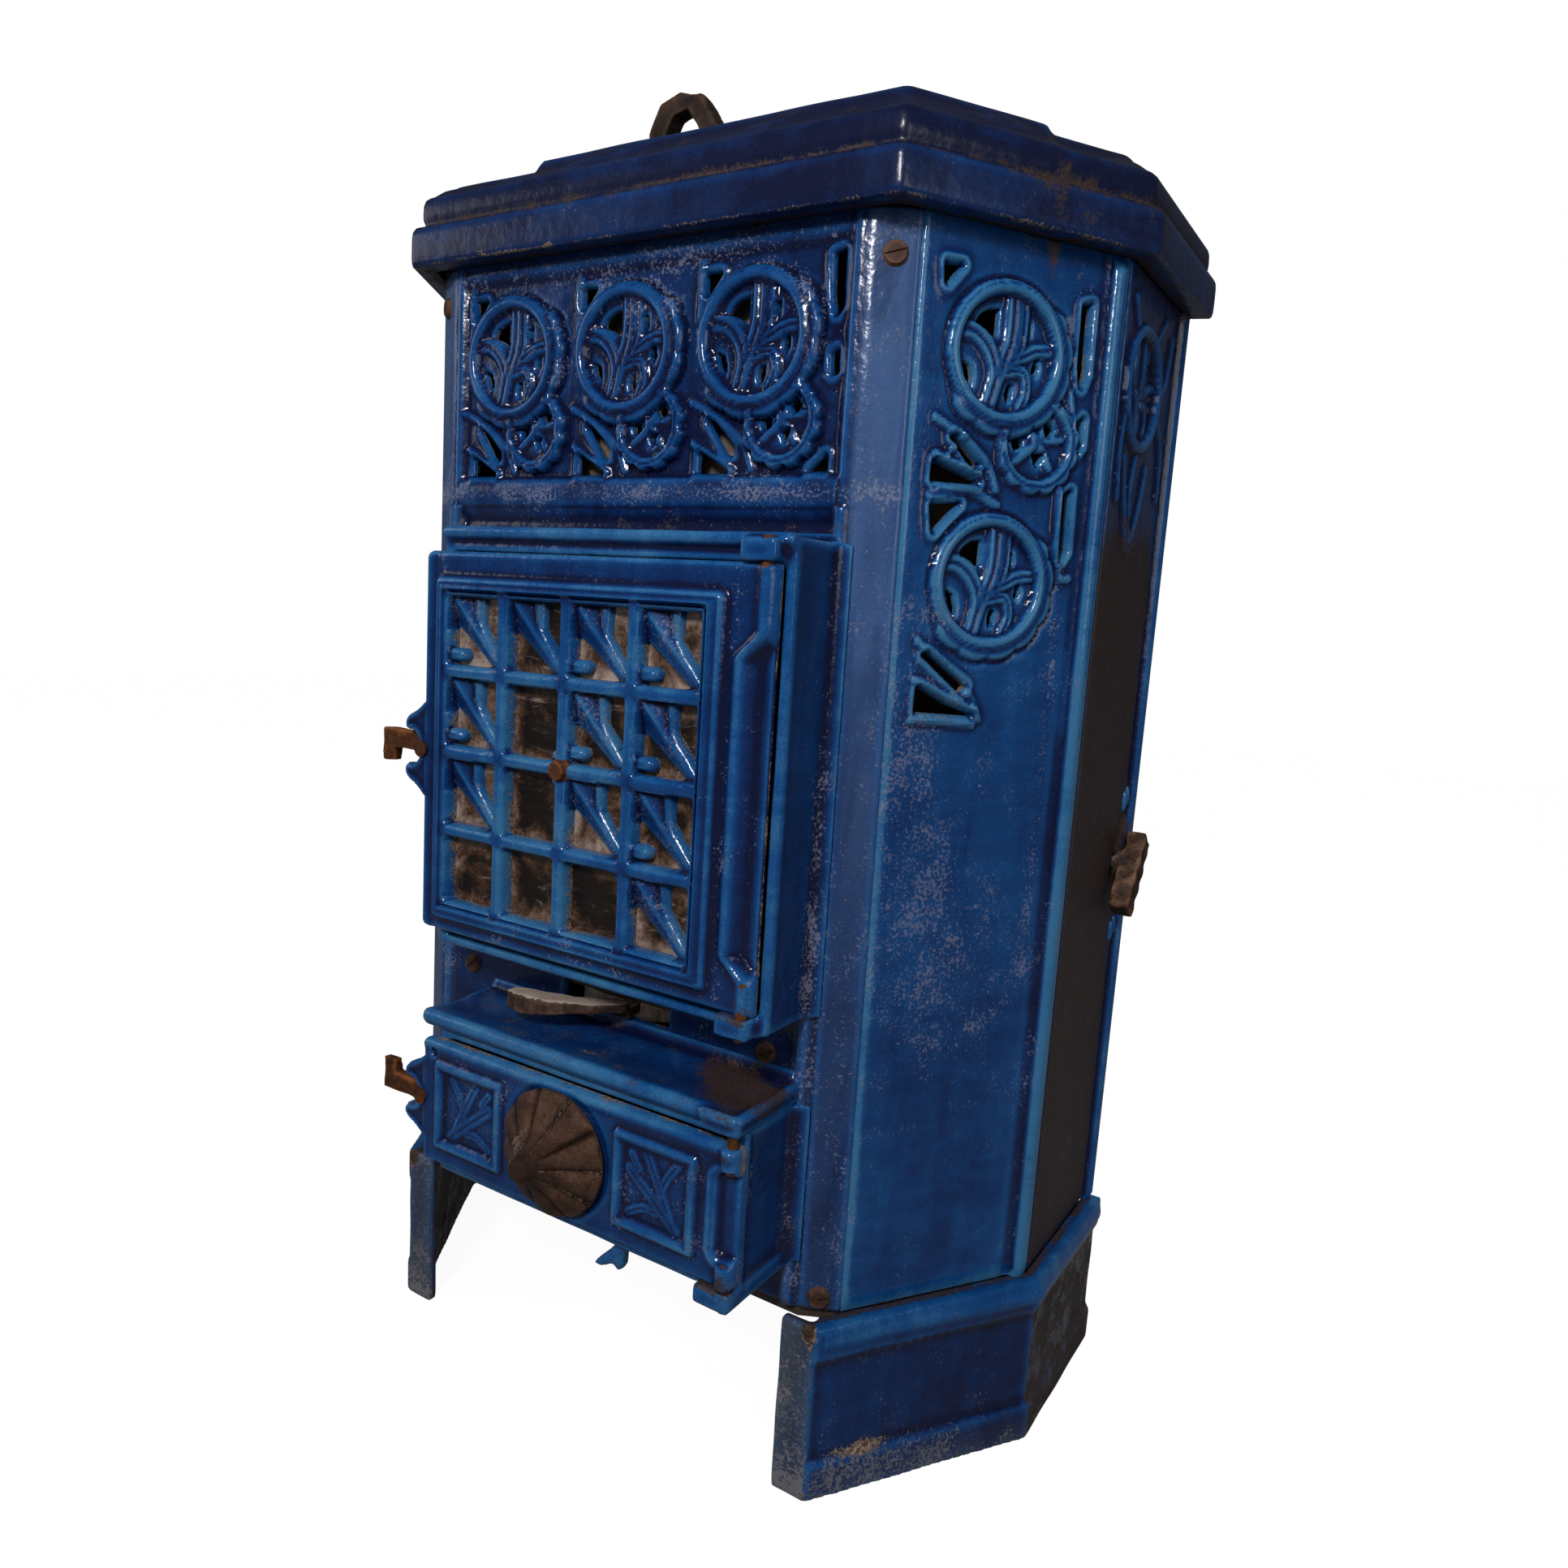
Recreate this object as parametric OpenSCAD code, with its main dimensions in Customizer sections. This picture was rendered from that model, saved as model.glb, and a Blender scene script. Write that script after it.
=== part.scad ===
// Enamelled cast-iron room stove with canted sides, mica fire door, ash door
// and hinged lid. Millimetres. X to the right as seen from the front, Y to the
// back, Z up. The origin lies on the floor under the middle of the whole stove.

/* [Body] */
// Width of the flat front face between the two corner facets
body_front_w = 324; // [290:2:420]
// Width of the narrow facet that rounds each front corner
corner_facet = 28; // [20:1:40]
// Plan angle between the front and each canted panel, in degrees
cant_angle = 56; // [45:1:62]
// Plan length of each canted panel
cant_len = 142; // [120:2:180]
// Plan length of each side panel behind the canted one
side_len = 136; // [125:2:190]
// Height of the body shell between plinth and top plate
body_h = 650; // [620:5:800]
// Thickness of the cast panels
panel_t = 6; // [5:0.5:9]
// Thickness of the top and bottom plates
plate_t = 8; // [6:0.5:12]

/* [Plinth] */
// Height of the plinth castings
plinth_h = 118; // [90:2:150]
// How far the plinth moulding stands outside the body
plinth_out = 11; // [8:1:14]
// Height of the step round the foot of the plinth
plinth_step_h = 26; // [16:1:36]
// Width of the forward-facing strip at the front of each plinth
plinth_strip_w = 26; // [20:1:34]

/* [Lid] */
// Height of the lid's lower band
lid_band_h = 26; // [18:1:34]
// How far the lower band overhangs the body
lid_out = 17; // [12:1:24]
// Height of the lid's upper band
lid_upper_h = 21; // [14:1:28]
// Rise of the sloping shoulder above the upper band
lid_rise = 18; // [8:1:24]
// Depth of the sunken field inside the lid's ridge
lid_field_d = 5; // [2:1:8]
// Wall of the lid casting
lid_wall = 7; // [6:0.5:9]
// Width of the lifting loop
loop_w = 52; // [44:1:64]
// Height of the lifting loop above the raised field
loop_h = 40; // [30:1:48]
// Distance of the lifting loop behind the front face
loop_y = 45; // [38:1:90]

/* [Fire door] */
// Width of the fire door without its latch nose
fire_door_w = 265; // [250:1:275]
// Height of the fire door
fire_door_h = 253; // [246:1:262]
// Height of the fire door's lower edge above the floor
fire_door_z = 320; // [316:1:326]
// Distance of the fire door's middle to the right of the stove's middle
fire_door_x = 11.5; // [0:0.5:16]
// How far the fire door's front stands out from the front plate
fire_door_out = 56; // [44:1:64]
// Thickness of both doors
door_t = 7.7; // [6:0.1:9]
// Number of window cells along each side
cells = 4; // [2:2:4]
// Spacing of the window cells
cell_pitch = 52.5; // [40:0.5:54]
// Width of the bars between the cells
bar_w = 9; // [7:0.5:12]
// Height of the window's middle above the floor
window_z = 443.5; // [438:0.5:452]

/* [Ash door and ledge] */
// Width of the ash door without its latch nose
ash_door_w = 256; // [240:1:262]
// Height of the ash door
ash_door_h = 88; // [80:1:92]
// Height of the ash door's lower edge above the floor
ash_door_z = 158; // [154:1:162]
// Distance of the ash door's middle to the right of the stove's middle
ash_door_x = 21; // [6:0.5:24]
// How far the ash door's front stands out from the front plate
ash_door_out = 64; // [52:1:72]
// Height of the ledge's upper face above the floor
ledge_z = 265; // [260:1:268]
// Radius of the fluted air valve
rosette_r = 41; // [36:1:43]
// How far the fluted air valve stands out at its apex
rosette_nose = 36; // [28:1:44]
// Travel of the air valve when it is screwed out
rosette_travel = 12; // [6:1:16]

/* [Grate and fire space] */
// Radius of the turning grate
grate_r = 68; // [60:1:70]
// Inner width of the brick-lined fire space
fire_w = 176; // [150:2:190]
// Inner depth of the brick-lined fire space
fire_d = 142; // [130:2:144]
// Height of the fire bricks
brick_h = 225; // [180:5:230]
// Thickness of the fire bricks
brick_t = 24; // [20:1:28]

/* [Flue] */
// Outer radius of the flue collar
flue_r = 62.5; // [55:0.5:68]
// Wall of the flue collar
flue_wall = 5; // [4:0.5:6]
// Height of the flue collar's axis above the floor
flue_z = 386; // [340:1:420]
// How far the flue collar stands out behind the back plate
flue_out = 60; // [45:1:80]
// Distance of the damper spindle in front of the back face
damper_back = 32; // [26:1:40]

/* [Fits] */
// Gap between parts that move past each other
gap = 0.3; // [0.2:0.05:0.6]
// Radial clearance of pins in their bores
pin_clear = 0.05; // [0.03:0.01:0.08]
// Radius of the door hinge pins
pin_r = 3.5; // [3:0.25:4.5]
// Radius of the screws in the body
screw_r = 4; // [3:0.5:5]

/* [Hidden] */
$fn = 48;

enamel = "steelblue";
enamel_light = "cornflowerblue";
iron = [0.25, 0.2, 0.18];

// Plan points of the right half of the shell, front to back.
half_angle = cant_angle / 2;
front_half = body_front_w / 2;
seam_x = front_half + corner_facet * cos(half_angle);
seam_y = corner_facet * sin(half_angle);
side_x = seam_x + cant_len * cos(cant_angle);
cant_y = seam_y + cant_len * sin(cant_angle);
back_y = cant_y + side_len;
virtual_x = front_half + corner_facet / 2 / cos(half_angle);

n_front = [0, -1];
n_facet = [sin(half_angle), -cos(half_angle)];
n_cant = [sin(cant_angle), -cos(cant_angle)];
n_side = [1, 0];
n_back = [0, 1];

// A corner between two faces with normals a and b, moved out by d.
function corner(p, a, b, d) = p + d * (a + b) / (1 + a * b);
function front_corner(d) = corner([front_half, 0], n_front, n_facet, d);
function seam_corner(d) = corner([seam_x, seam_y], n_facet, n_cant, d);
function sharp_corner(d) = corner([virtual_x, 0], n_front, n_cant, d);
function cant_corner(d) = corner([side_x, cant_y], n_cant, n_side, d);
function back_corner(d) = corner([side_x, back_y], n_side, n_back, d);
function flip(p) = [-p[0], p[1]];
function both(pts) = concat(pts, [for (i = [len(pts) - 1:-1:0]) flip(pts[i])]);
function shell_outline(d) =
    both([front_corner(d), seam_corner(d), cant_corner(d), back_corner(d)]);
// The sharp outline has its own distance at the back, so that a lid can stop there.
function sharp_outline(d, back) = both([sharp_corner(d), cant_corner(d),
    [cant_corner(d)[0], back_y + back]]);

// Levels
body_top = plinth_h + body_h;
top_plate_z = body_top + plate_t;
lid_z = body_top - 3;
lid_step_z = lid_z + lid_band_h;
lid_shoulder_z = lid_step_z + lid_upper_h;
lid_field_z = lid_shoulder_z + lid_rise;
lid_ridge_in = 10;            // the ridge's distance inside the shell's outline
lid_ridge_w = 14;
lid_seat = 5;                // width of the rim that sits on the top plate
lid_in = 2;                  // play between lid and shell
lid_step_in = 8;             // how far the upper band stands back
lid_back = 4;                // how far the lid stands behind the shell

// Lid hinge
hinge_y = back_y + 14;
hinge_z = top_plate_z - 1;
hinge_r = 8;
lid_pin_r = 4;
hinge_x = side_x * 0.45;
hinge_w = 14;

// Latches: a lever turns behind the nose on the door's left edge, and its
// tail goes behind a keeper on the wall beside it when the lever is turned.
nose_out = 23;
notch_r = 13;
fire_latch_z = fire_door_z + 122;
ash_latch_z = ash_door_z + 45;
latch_out = 1.5;              // the pivot's distance outside the door's edge
latch_side = 10.5;            // from the pivot to the wall with the keeper
latch_r = 8;
latch_t = 6;
latch_reach = 50;
latch_pin_r = 3;
latch_head_r = 5.5;
post_r = 4.8;
keeper_t = 5;
keeper_h = 12;
keeper_clear = 0.4;           // play between a latch's post and its keeper
tail_clear = 0.8;             // play between a latch's tail and its keeper
tail_y0 = latch_t + keeper_t + tail_clear;
tail_t = 4.5;
tail_y1 = tail_y0 + tail_t;
tail_w = 6.4;
tail_l = 12;

// Fire door and its neck
fire_front_y = -fire_door_out;
fire_back_y = fire_front_y + door_t;
fire_neck_y = fire_back_y + gap;
fire_x0 = fire_door_x - fire_door_w / 2;
fire_x1 = fire_door_x + fire_door_w / 2;
fire_hinge_r = 6.3;
fire_hinge_x = fire_x1;
fire_hinge_y = fire_back_y - fire_hinge_r;
fire_top_z = fire_door_z + fire_door_h;
neck_wall = 7;
neck_x0 = fire_x0 - latch_out + latch_side;
neck_x1 = fire_hinge_x + fire_hinge_r + 7;
neck_z0 = fire_door_z - 12;
neck_z1 = fire_top_z + 15;
window_x = fire_door_x - 7.5;
window_half = cells * cell_pitch / 2;
lug_h = 13;
lug_w = 22;

// Ash door, ash box and ledge
ash_front_y = -ash_door_out;
ash_back_y = ash_front_y + door_t;
ash_neck_y = ash_back_y + gap;
ash_x0 = ash_door_x - ash_door_w / 2;
ash_x1 = ash_door_x + ash_door_w / 2;
ash_hinge_r = 6;
ash_hinge_x = ash_x1;
ash_hinge_y = ash_back_y - ash_hinge_r;
ash_top_z = ash_door_z + ash_door_h;
ledge_t = 12;
ash_box_x0 = ash_x0 - latch_out + latch_side;
ash_box_x1 = ash_hinge_x + 4;
ash_box_z0 = ash_door_z - 8;
ash_box_z1 = ledge_z - ledge_t;
ash_wall = 7;
ash_lug_h = 12;
rosette_x = ash_door_x - 4.5;
rosette_z = ash_door_z + ash_door_h / 2;
spindle_r = 6;
air_hole_r = 30;
rosette_plate = 4;
toe_back = 40;
toe_t = 8;

// Shaker slot in the front plate
slot_x = 5.5;
slot_w = 92;
slot_z0 = 272;
slot_z1 = 288;
grate_x = 0;
grate_y = 92;
shank_w = 12;
shank_z = slot_z0 + 1.5;
shank_h = 8;
frame_z = shank_z + shank_h + 1;
lip_h = 5;
lip_w = 6;
grate_t = 10;
grate_z = frame_z + lip_h + gap;
frame_t = lip_h + grate_t + 2;
lever_rest = 10;              // the shank's angle to the right at rest

// Fire space
chamber_x = grate_x;
brick_z = frame_z + frame_t;
chamber_y0 = panel_t + 4;
hopper_t = 6;
hopper_z = brick_z + brick_h + 25;
plug_r = 74;
plug_y = 95;
plug_seat = 8;

// Ash space
cheek_t = 6;
pan_x = chamber_x;
pan_w = 2 * (pan_x - ash_box_x0 - ash_wall - 4);
pan_t = 2;
pan_h = 55;
pan_y0 = -28;
pan_tab = 9;
pan_y1 = 172;
pan_z = ash_box_z0 + ash_wall + gap;
rail_w = 9;
cheek_half = pan_w / 2 + 1.5;

// Damper
damper_y = back_y - damper_back;
damper_r = 5;
damper_t = 4;
flue_in_y = damper_y - damper_r - 8;
key_t = 12;
key_l = 58;
key_w = 19;
key_tilt = 34;
boss_r = 12;
boss_t = 6;
spindle_x1 = side_x + boss_t + key_t + 2;

// Screws and rods
head_r = 7.3;
head_h = 2.5;
flange_w = 20;
flange_t = 5;
rod_r = 4;
nut_h = 6.5;
screw_zs = [plinth_h + 10, body_top - 25];
frame_screw_z = slot_z1 - 10;
rods = [for (s = [-1, 1]) each [[s * (seam_x - 24), 40], [s * (side_x - 26), back_y - 18]]];

// The middle of the whole stove's plan box, which the origin is put under.
plan_x0 = -(side_x + lid_out);
plan_x1 = max(side_x + lid_out, spindle_x1);
plan_y0 = ash_front_y - rosette_nose;
plan_y1 = back_y + flue_out;
centre = [(plan_x0 + plan_x1) / 2, (plan_y0 + plan_y1) / 2, 0];

// Every part is drawn about the front face's foot and placed by this module.
module placed() { translate(-centre) children(); }
module slab(points, z0, z1) { translate([0, 0, z0]) linear_extrude(z1 - z0) polygon(points); }
module block(x0, x1, y0, y1, z0, z1) { translate([x0, y0, z0]) cube([x1 - x0, y1 - y0, z1 - z0]); }
module rod_x(x0, x1, y, z, r) { translate([x0, y, z]) rotate([0, 90, 0]) cylinder(r = r, h = x1 - x0); }
module rod_y(y0, y1, x, z, r) { translate([x, y0, z]) rotate([-90, 0, 0]) cylinder(r = r, h = y1 - y0); }
module rod_z(z0, z1, x, y, r) { translate([x, y, z0]) cylinder(r = r, h = z1 - z0); }
module mirrored(left) { if (left) mirror([1, 0, 0]) children(); else children(); }
// Puts children on a canted panel: X along it, Z up, Y into the stove.
module on_cant() { translate([seam_x, seam_y, 0]) rotate([0, 0, cant_angle]) children(); }
module on_facet() { translate([front_half, 0, 0]) rotate([0, 0, half_angle]) children(); }
// Puts children on a side panel in the same way.
module on_side() { translate([side_x, cant_y, 0]) rotate([0, 0, 90]) children(); }

// ---- Ornament: interlaced rings with pierced leaves ----
ring_r = 35;
ring_tube = 4;
ring_x0 = -105;
ring_pitch = 97;
frieze_z = body_top - 64.5;
cant_ring_z = body_top - 68;
small_ring_r = 22;
sink = 0.5;                   // how far raised work is rooted in its plate
// A ring moulding that stands half out of the face at y = 0.
module ring_moulding(x, z, r, tube) {
    translate([x, 0, z]) rotate([90, 0, 0]) intersection() {
        rotate_extrude() translate([r + tube, 0]) circle(r = tube, $fn = 24);
        translate([0, 0, -sink]) cylinder(r = r + 3 * tube, h = 2 * tube);
    }
}
module ring_motif(x, z) {
    ring_moulding(x, z, ring_r, ring_tube);
    difference() {
        ring_moulding(x + 25, z - 48, small_ring_r, ring_tube - 0.5);
        translate([x, 1, z]) rotate([90, 0, 0]) cylinder(r = ring_r + ring_tube, h = 20);
    }
}
// The pierced openings of one motif, as a cutter that runs through the plate.
module motif_holes(x, z) {
    translate([x, panel_t + 1, z]) rotate([90, 0, 0]) linear_extrude(panel_t + 2) {
        polygon([[-6, 6], [-22, 17], [-12, 25], [-1, 27]]);
        polygon([[-24, -2], [-16, -6], [-10, -22], [-17, -24], [-25, -14]]);
        polygon([[14, 8], [22, 6], [24, 14], [17, 20]]);
        polygon([[3, -18], [11, -10], [13, -18], [6, -27]]);
        polygon([[-42, -84], [-42, -72], [-14, -84]]);
        polygon([[-38, -42], [-34, -42], [-18, -64], [-22, -66]]);
    }
}

module frieze_positions() {
    for (i = [0:2]) translate([ring_x0 + i * ring_pitch, 0, frieze_z]) children();
}

// ---- Plinths ----
// One plinth half as a bent wall between distances d0 and d1 from the shell.
module plinth_wall(d0, d1, z0, z1) {
    slab([sharp_corner(d1), cant_corner(d1), [cant_corner(d1)[0], back_y],
        [cant_corner(d0)[0], back_y], cant_corner(d0), sharp_corner(d0)], z0, z1);
}
module plinth(left) {
    front_y = sharp_corner(plinth_out)[1];
    strip_x = sharp_corner(plinth_out)[0];
    placed() mirrored(left) color(enamel) union() {
        plinth_wall(-3, plinth_out - 3, 0, plinth_h - 22);
        plinth_wall(-3, plinth_out, 0, plinth_step_h);
        plinth_wall(-3, plinth_out, plinth_h - 22, plinth_h);
        // Inward shelf that carries the bottom plate
        plinth_wall(-16, -3, plinth_h - 2 * plate_t, plinth_h - plate_t);
        // Forward-facing strip
        block(strip_x - plinth_strip_w, strip_x - 1, front_y, front_y + 8, 0, plinth_h);
        // Web at the back
        block(side_x - 30, side_x - 3, back_y - 8, back_y, 0, plinth_h - plate_t);
    }
}
module plinth_left() { plinth(true); }
module plinth_right() { plinth(false); }

// ---- Plates ----
module bottom_plate() {
    placed() color(iron) difference() {
        slab(shell_outline(-panel_t - gap), plinth_h - plate_t, plinth_h);
        for (p = rods) rod_z(plinth_h - plate_t - 1, plinth_h + 1, p[0], p[1], rod_r + pin_clear);
    }
}
module top_plate() {
    lug_x = [for (s = [-1, 1]) s * hinge_x];
    placed() color(iron) difference() {
        union() {
            slab(shell_outline(0), body_top, top_plate_z);
            for (x = lug_x) {
                block(x - hinge_w / 2, x + hinge_w / 2, back_y - 2, hinge_y,
                    body_top, top_plate_z - gap);
                rod_x(x - hinge_w / 2, x + hinge_w / 2, hinge_y, hinge_z, hinge_r);
            }
        }
        rod_z(body_top - 1, top_plate_z + 1, chamber_x, plug_y, plug_r - plug_seat);
        rod_z(body_top + plate_t / 2, top_plate_z + 1, chamber_x, plug_y, plug_r + 1);
        for (p = rods) rod_z(body_top - 1, top_plate_z + 1, p[0], p[1], rod_r + pin_clear);
        for (x = lug_x) rod_x(x - hinge_w, x + hinge_w, hinge_y, hinge_z, lid_pin_r + pin_clear);
    }
}
module loading_plug() {
    placed() color(iron) difference() {
        union() {
            rod_z(body_top + plate_t / 2, top_plate_z + 2, chamber_x, plug_y, plug_r);
            rod_z(body_top - 3, body_top + plate_t / 2, chamber_x, plug_y, plug_r - plug_seat - 1);
        }
        // Recess and bridge for the lifter
        difference() {
            rod_z(body_top + 1, top_plate_z + 3, chamber_x, plug_y, 20);
            block(chamber_x - 22, chamber_x + 22, plug_y - 5, plug_y + 5, body_top, top_plate_z);
        }
    }
}

// ---- Shell panels ----
module front_plate() {
    t = panel_t;
    placed() color(enamel) difference() {
        union() {
            slab([flip(seam_corner(0)), flip(front_corner(0)), front_corner(0), seam_corner(0),
                seam_corner(-t), front_corner(-t), flip(front_corner(-t)), flip(seam_corner(-t))],
                plinth_h, body_top);
            frieze_positions() ring_motif(0, 0);
            // Raised borders of the frieze
            block(-front_half + 4, front_half - 4, -3, sink, frieze_z - 100, frieze_z - 92);
            for (s = [-1, 1]) block(s * (front_half - 6) - 4, s * (front_half - 6) + 4, -3, sink,
                frieze_z - 92, body_top - 13);
        }
        frieze_positions() motif_holes(0, 0);
        block(neck_x0 + neck_wall, neck_x1 - neck_wall, -1, t + 1,
            neck_z0 + neck_wall, neck_z1 - neck_wall);
        block(ash_box_x0 + ash_wall, ash_box_x1 - ash_wall, -1, t + 1,
            ash_box_z0 + ash_wall, ash_box_z1 - ash_wall);
        block(slot_x - slot_w / 2, slot_x + slot_w / 2, -1, t + 1, slot_z0, slot_z1);
        for (s = [-1, 1]) mirrored(s < 0) on_facet() for (z = screw_zs)
            rod_y(-1, t + 1, corner_facet / 2, z, screw_r + pin_clear);
        for (x = [-128.5, 128.5]) rod_y(-1, t + 1, x, frame_screw_z, screw_r + pin_clear);
    }
}
module canted_panel(left) {
    t = panel_t;
    placed() mirrored(left) color(enamel_light) difference() {
        union() {
            slab([seam_corner(0), cant_corner(0), cant_corner(-t), seam_corner(-t)],
                plinth_h, body_top);
            // Flange behind the front plate's corner facet
            on_facet() block(corner_facet - flange_w - 3, corner_facet + 2, t, t + flange_t,
                plinth_h + 1, body_top - 1);
            on_cant() {
                ring_motif(60, cant_ring_z);
                ring_moulding(62, cant_ring_z - 128, ring_r, ring_tube);
                block(cant_len - 13, cant_len - 5, -4, sink, plinth_h + 2, body_top - 6);
            }
        }
        on_cant() {
            motif_holes(60, cant_ring_z);
            motif_holes(62, cant_ring_z - 128);
        }
        on_facet() for (z = screw_zs)
            rod_y(t - 1, t + flange_t + 2, corner_facet / 2, z, screw_r + pin_clear);
    }
}
module canted_panel_left() { canted_panel(true); }
module canted_panel_right() { canted_panel(false); }
module side_panel(left) {
    t = panel_t;
    placed() mirrored(left) color(enamel) difference() {
        union() {
            slab([cant_corner(0), back_corner(0), back_corner(-t), cant_corner(-t)],
                plinth_h, body_top);
            on_side() {
                ring_moulding(47, cant_ring_z, ring_r, ring_tube);
                block(side_len - 12, side_len - 3, -5, sink, plinth_h + 2, body_top - 4);
            }
            if (!left) rod_x(side_x - 1, side_x + boss_t, damper_y, flue_z, boss_r);
        }
        if (!left) rod_x(side_x - t - 1, side_x + boss_t + 1, damper_y, flue_z, damper_r + pin_clear);
    }
}
module side_panel_left() { side_panel(true); }
module side_panel_right() { side_panel(false); }
module back_plate() {
    t = panel_t;
    half = back_corner(-t)[0];
    placed() color(iron) difference() {
        block(-half, half, back_y - t, back_y, plinth_h, body_top);
        rod_y(back_y - t - 1, back_y + 1, 0, flue_z, flue_r + pin_clear);
    }
}

// ---- Lid ----
module lid_outside() {
    d_up = lid_out - lid_step_in;
    slab(sharp_outline(lid_out, lid_back), lid_z, lid_step_z);
    slab(sharp_outline(d_up, lid_back), lid_step_z - 1, lid_shoulder_z);
    // Sloping shoulder up to the ridge
    hull() {
        slab(sharp_outline(d_up, lid_back), lid_shoulder_z - 1, lid_shoulder_z);
        slab(sharp_outline(-lid_ridge_in, -lid_ridge_in), lid_field_z - 1, lid_field_z);
    }
}
module lid_inside() {
    // Skirt round the shell, then the narrower space above the top plate
    slab(sharp_outline(lid_in, lid_back + 1), lid_z - 1, top_plate_z + gap);
    slab(sharp_outline(-lid_seat, -lid_seat), top_plate_z, lid_shoulder_z - lid_wall);
    hull() {
        slab(sharp_outline(-lid_seat, -lid_seat), lid_shoulder_z - lid_wall - 1, lid_shoulder_z - lid_wall);
        slab(sharp_outline(-lid_ridge_in - lid_wall, -lid_ridge_in - lid_wall),
            lid_field_z - lid_wall - lid_field_d - 1, lid_field_z - lid_wall - lid_field_d);
    }
}
module lid() {
    ear_x = [for (s = [-1, 1]) s * (hinge_x - hinge_w - gap)];
    placed() color(enamel) difference() {
        union() {
            difference() {
                lid_outside();
                lid_inside();
                // Sunken field inside the ridge
                slab(sharp_outline(-lid_ridge_in - lid_ridge_w, -lid_ridge_in - lid_ridge_w),
                    lid_field_z - lid_field_d, lid_field_z + 1);
            }
            for (x = ear_x) {
                rod_x(x - hinge_w / 2, x + hinge_w / 2, hinge_y, hinge_z, hinge_r);
                block(x - hinge_w / 2, x + hinge_w / 2, back_y + lid_back - 1, hinge_y,
                    top_plate_z + 1, hinge_z + hinge_r);
            }
        }
        for (x = ear_x) rod_x(x - hinge_w, x + hinge_w, hinge_y, hinge_z, lid_pin_r + pin_clear);
    }
}
module lid_hinge_pins() {
    placed() color(iron) for (s = [-1, 1]) mirrored(s < 0) {
        rod_x(hinge_x - hinge_w * 1.5 - gap - 2, hinge_x + hinge_w / 2 + 2,
            hinge_y, hinge_z, lid_pin_r);
    }
}
module lid_loop() {
    thick = 12;
    z = lid_field_z - lid_field_d;
    w = loop_w / 2;
    placed() color(iron) translate([0, loop_y + thick / 2, z]) rotate([90, 0, 0])
    linear_extrude(thick) difference() {
        polygon([[-w + 6, 0], [-w, 18], [-w + 8, loop_h - 5], [-4, loop_h], [12, loop_h - 4],
            [w, 14], [w, 0]]);
        polygon([[-w + 15, 10], [-w + 12, 17], [-w + 18, loop_h - 13], [2, loop_h - 11],
            [w - 12, 12], [w - 14, 9]]);
    }
}

// ---- Fire door assembly ----
// The keeper on the wall, which a latch's tail goes behind.
module keeper(x0, z, y1, up) {
    placed() color(iron) translate([x0 - latch_out, y1 + gap, z]) mirror([0, 0, up ? 1 : 0])
        block(post_r + keeper_clear, latch_side, latch_t + gap, latch_t + keeper_t, -keeper_h - 1, -1);
}
module fire_door_frame() {
    lug_x0 = fire_hinge_x - lug_w + fire_hinge_r;
    lug_x1 = fire_hinge_x + fire_hinge_r + 1;
    lug_y = fire_hinge_y - fire_hinge_r + 1;
    placed() color(enamel) difference() {
        union() {
            block(neck_x0, neck_x1, fire_neck_y, 0, neck_z0, neck_z1);
            // Hinge lugs above and below the door
            block(lug_x0, lug_x1, lug_y, 0, fire_top_z + gap, fire_top_z + gap + lug_h);
            block(lug_x0, lug_x1, lug_y, 0, fire_door_z - gap - lug_h, fire_door_z - gap);
        }
        block(neck_x0 + neck_wall, neck_x1 - neck_wall, fire_neck_y - 1, 1,
            neck_z0 + neck_wall, neck_z1 - neck_wall);
        rod_z(neck_z0 - 20, neck_z1 + 20, fire_hinge_x, fire_hinge_y, pin_r + pin_clear);
    }
}
// The rounded nose with its notch, in the plane of the door.
module nose(x0, z, out, reach, y0, y1) {
    translate([x0, y1, z]) rotate([90, 0, 0]) linear_extrude(y1 - y0) difference() {
        polygon([[1, reach], [-out * 0.35, reach * 0.72], [-out, reach * 0.58], [-out, -reach * 0.58],
            [-out * 0.35, -reach * 0.72], [1, -reach]]);
        translate([-out, 0]) circle(r = notch_r);
    }
}
module fire_door() {
    y0 = fire_front_y;
    y1 = fire_back_y;
    knuckle_h = fire_door_h * 0.24;
    placed() color(enamel_light) difference() {
        union() {
            block(fire_x0, fire_hinge_x - 3, y0, y1, fire_door_z, fire_top_z);
            nose(fire_x0, fire_latch_z, nose_out, 33, y0, y1);
            rod_z(fire_door_z, fire_door_z + knuckle_h, fire_hinge_x, fire_hinge_y, fire_hinge_r);
            rod_z(fire_top_z - knuckle_h, fire_top_z, fire_hinge_x, fire_hinge_y, fire_hinge_r);
            // Raised border of the window
            difference() {
                block(window_x - window_half - 8, window_x + window_half + 10, y0 - 5, y0,
                    window_z - window_half - 10, window_z + window_half + 10);
                block(window_x - window_half, window_x + window_half, y0 - 6, y0 + 1,
                    window_z - window_half, window_z + window_half);
            }
        }
        for (i = [0:cells - 1], k = [0:cells - 1])
            translate([window_x - window_half + (i + 0.5) * cell_pitch, 0,
                window_z - window_half + (k + 0.5) * cell_pitch])
            block(-(cell_pitch - bar_w) / 2, (cell_pitch - bar_w) / 2, y0 - 1, y1 + 1,
                -(cell_pitch - bar_w) / 2, (cell_pitch - bar_w) / 2);
        rod_z(fire_door_z - 1, fire_top_z + 1, fire_hinge_x, fire_hinge_y, pin_r + pin_clear);
        rod_y(y0 - 1, y1 + 1, fire_x0 - latch_out, fire_latch_z, latch_pin_r + pin_clear);
        rod_y(y0 - 1, y1 + 1, window_x, window_z, 3 + pin_clear);
    }
}
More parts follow.
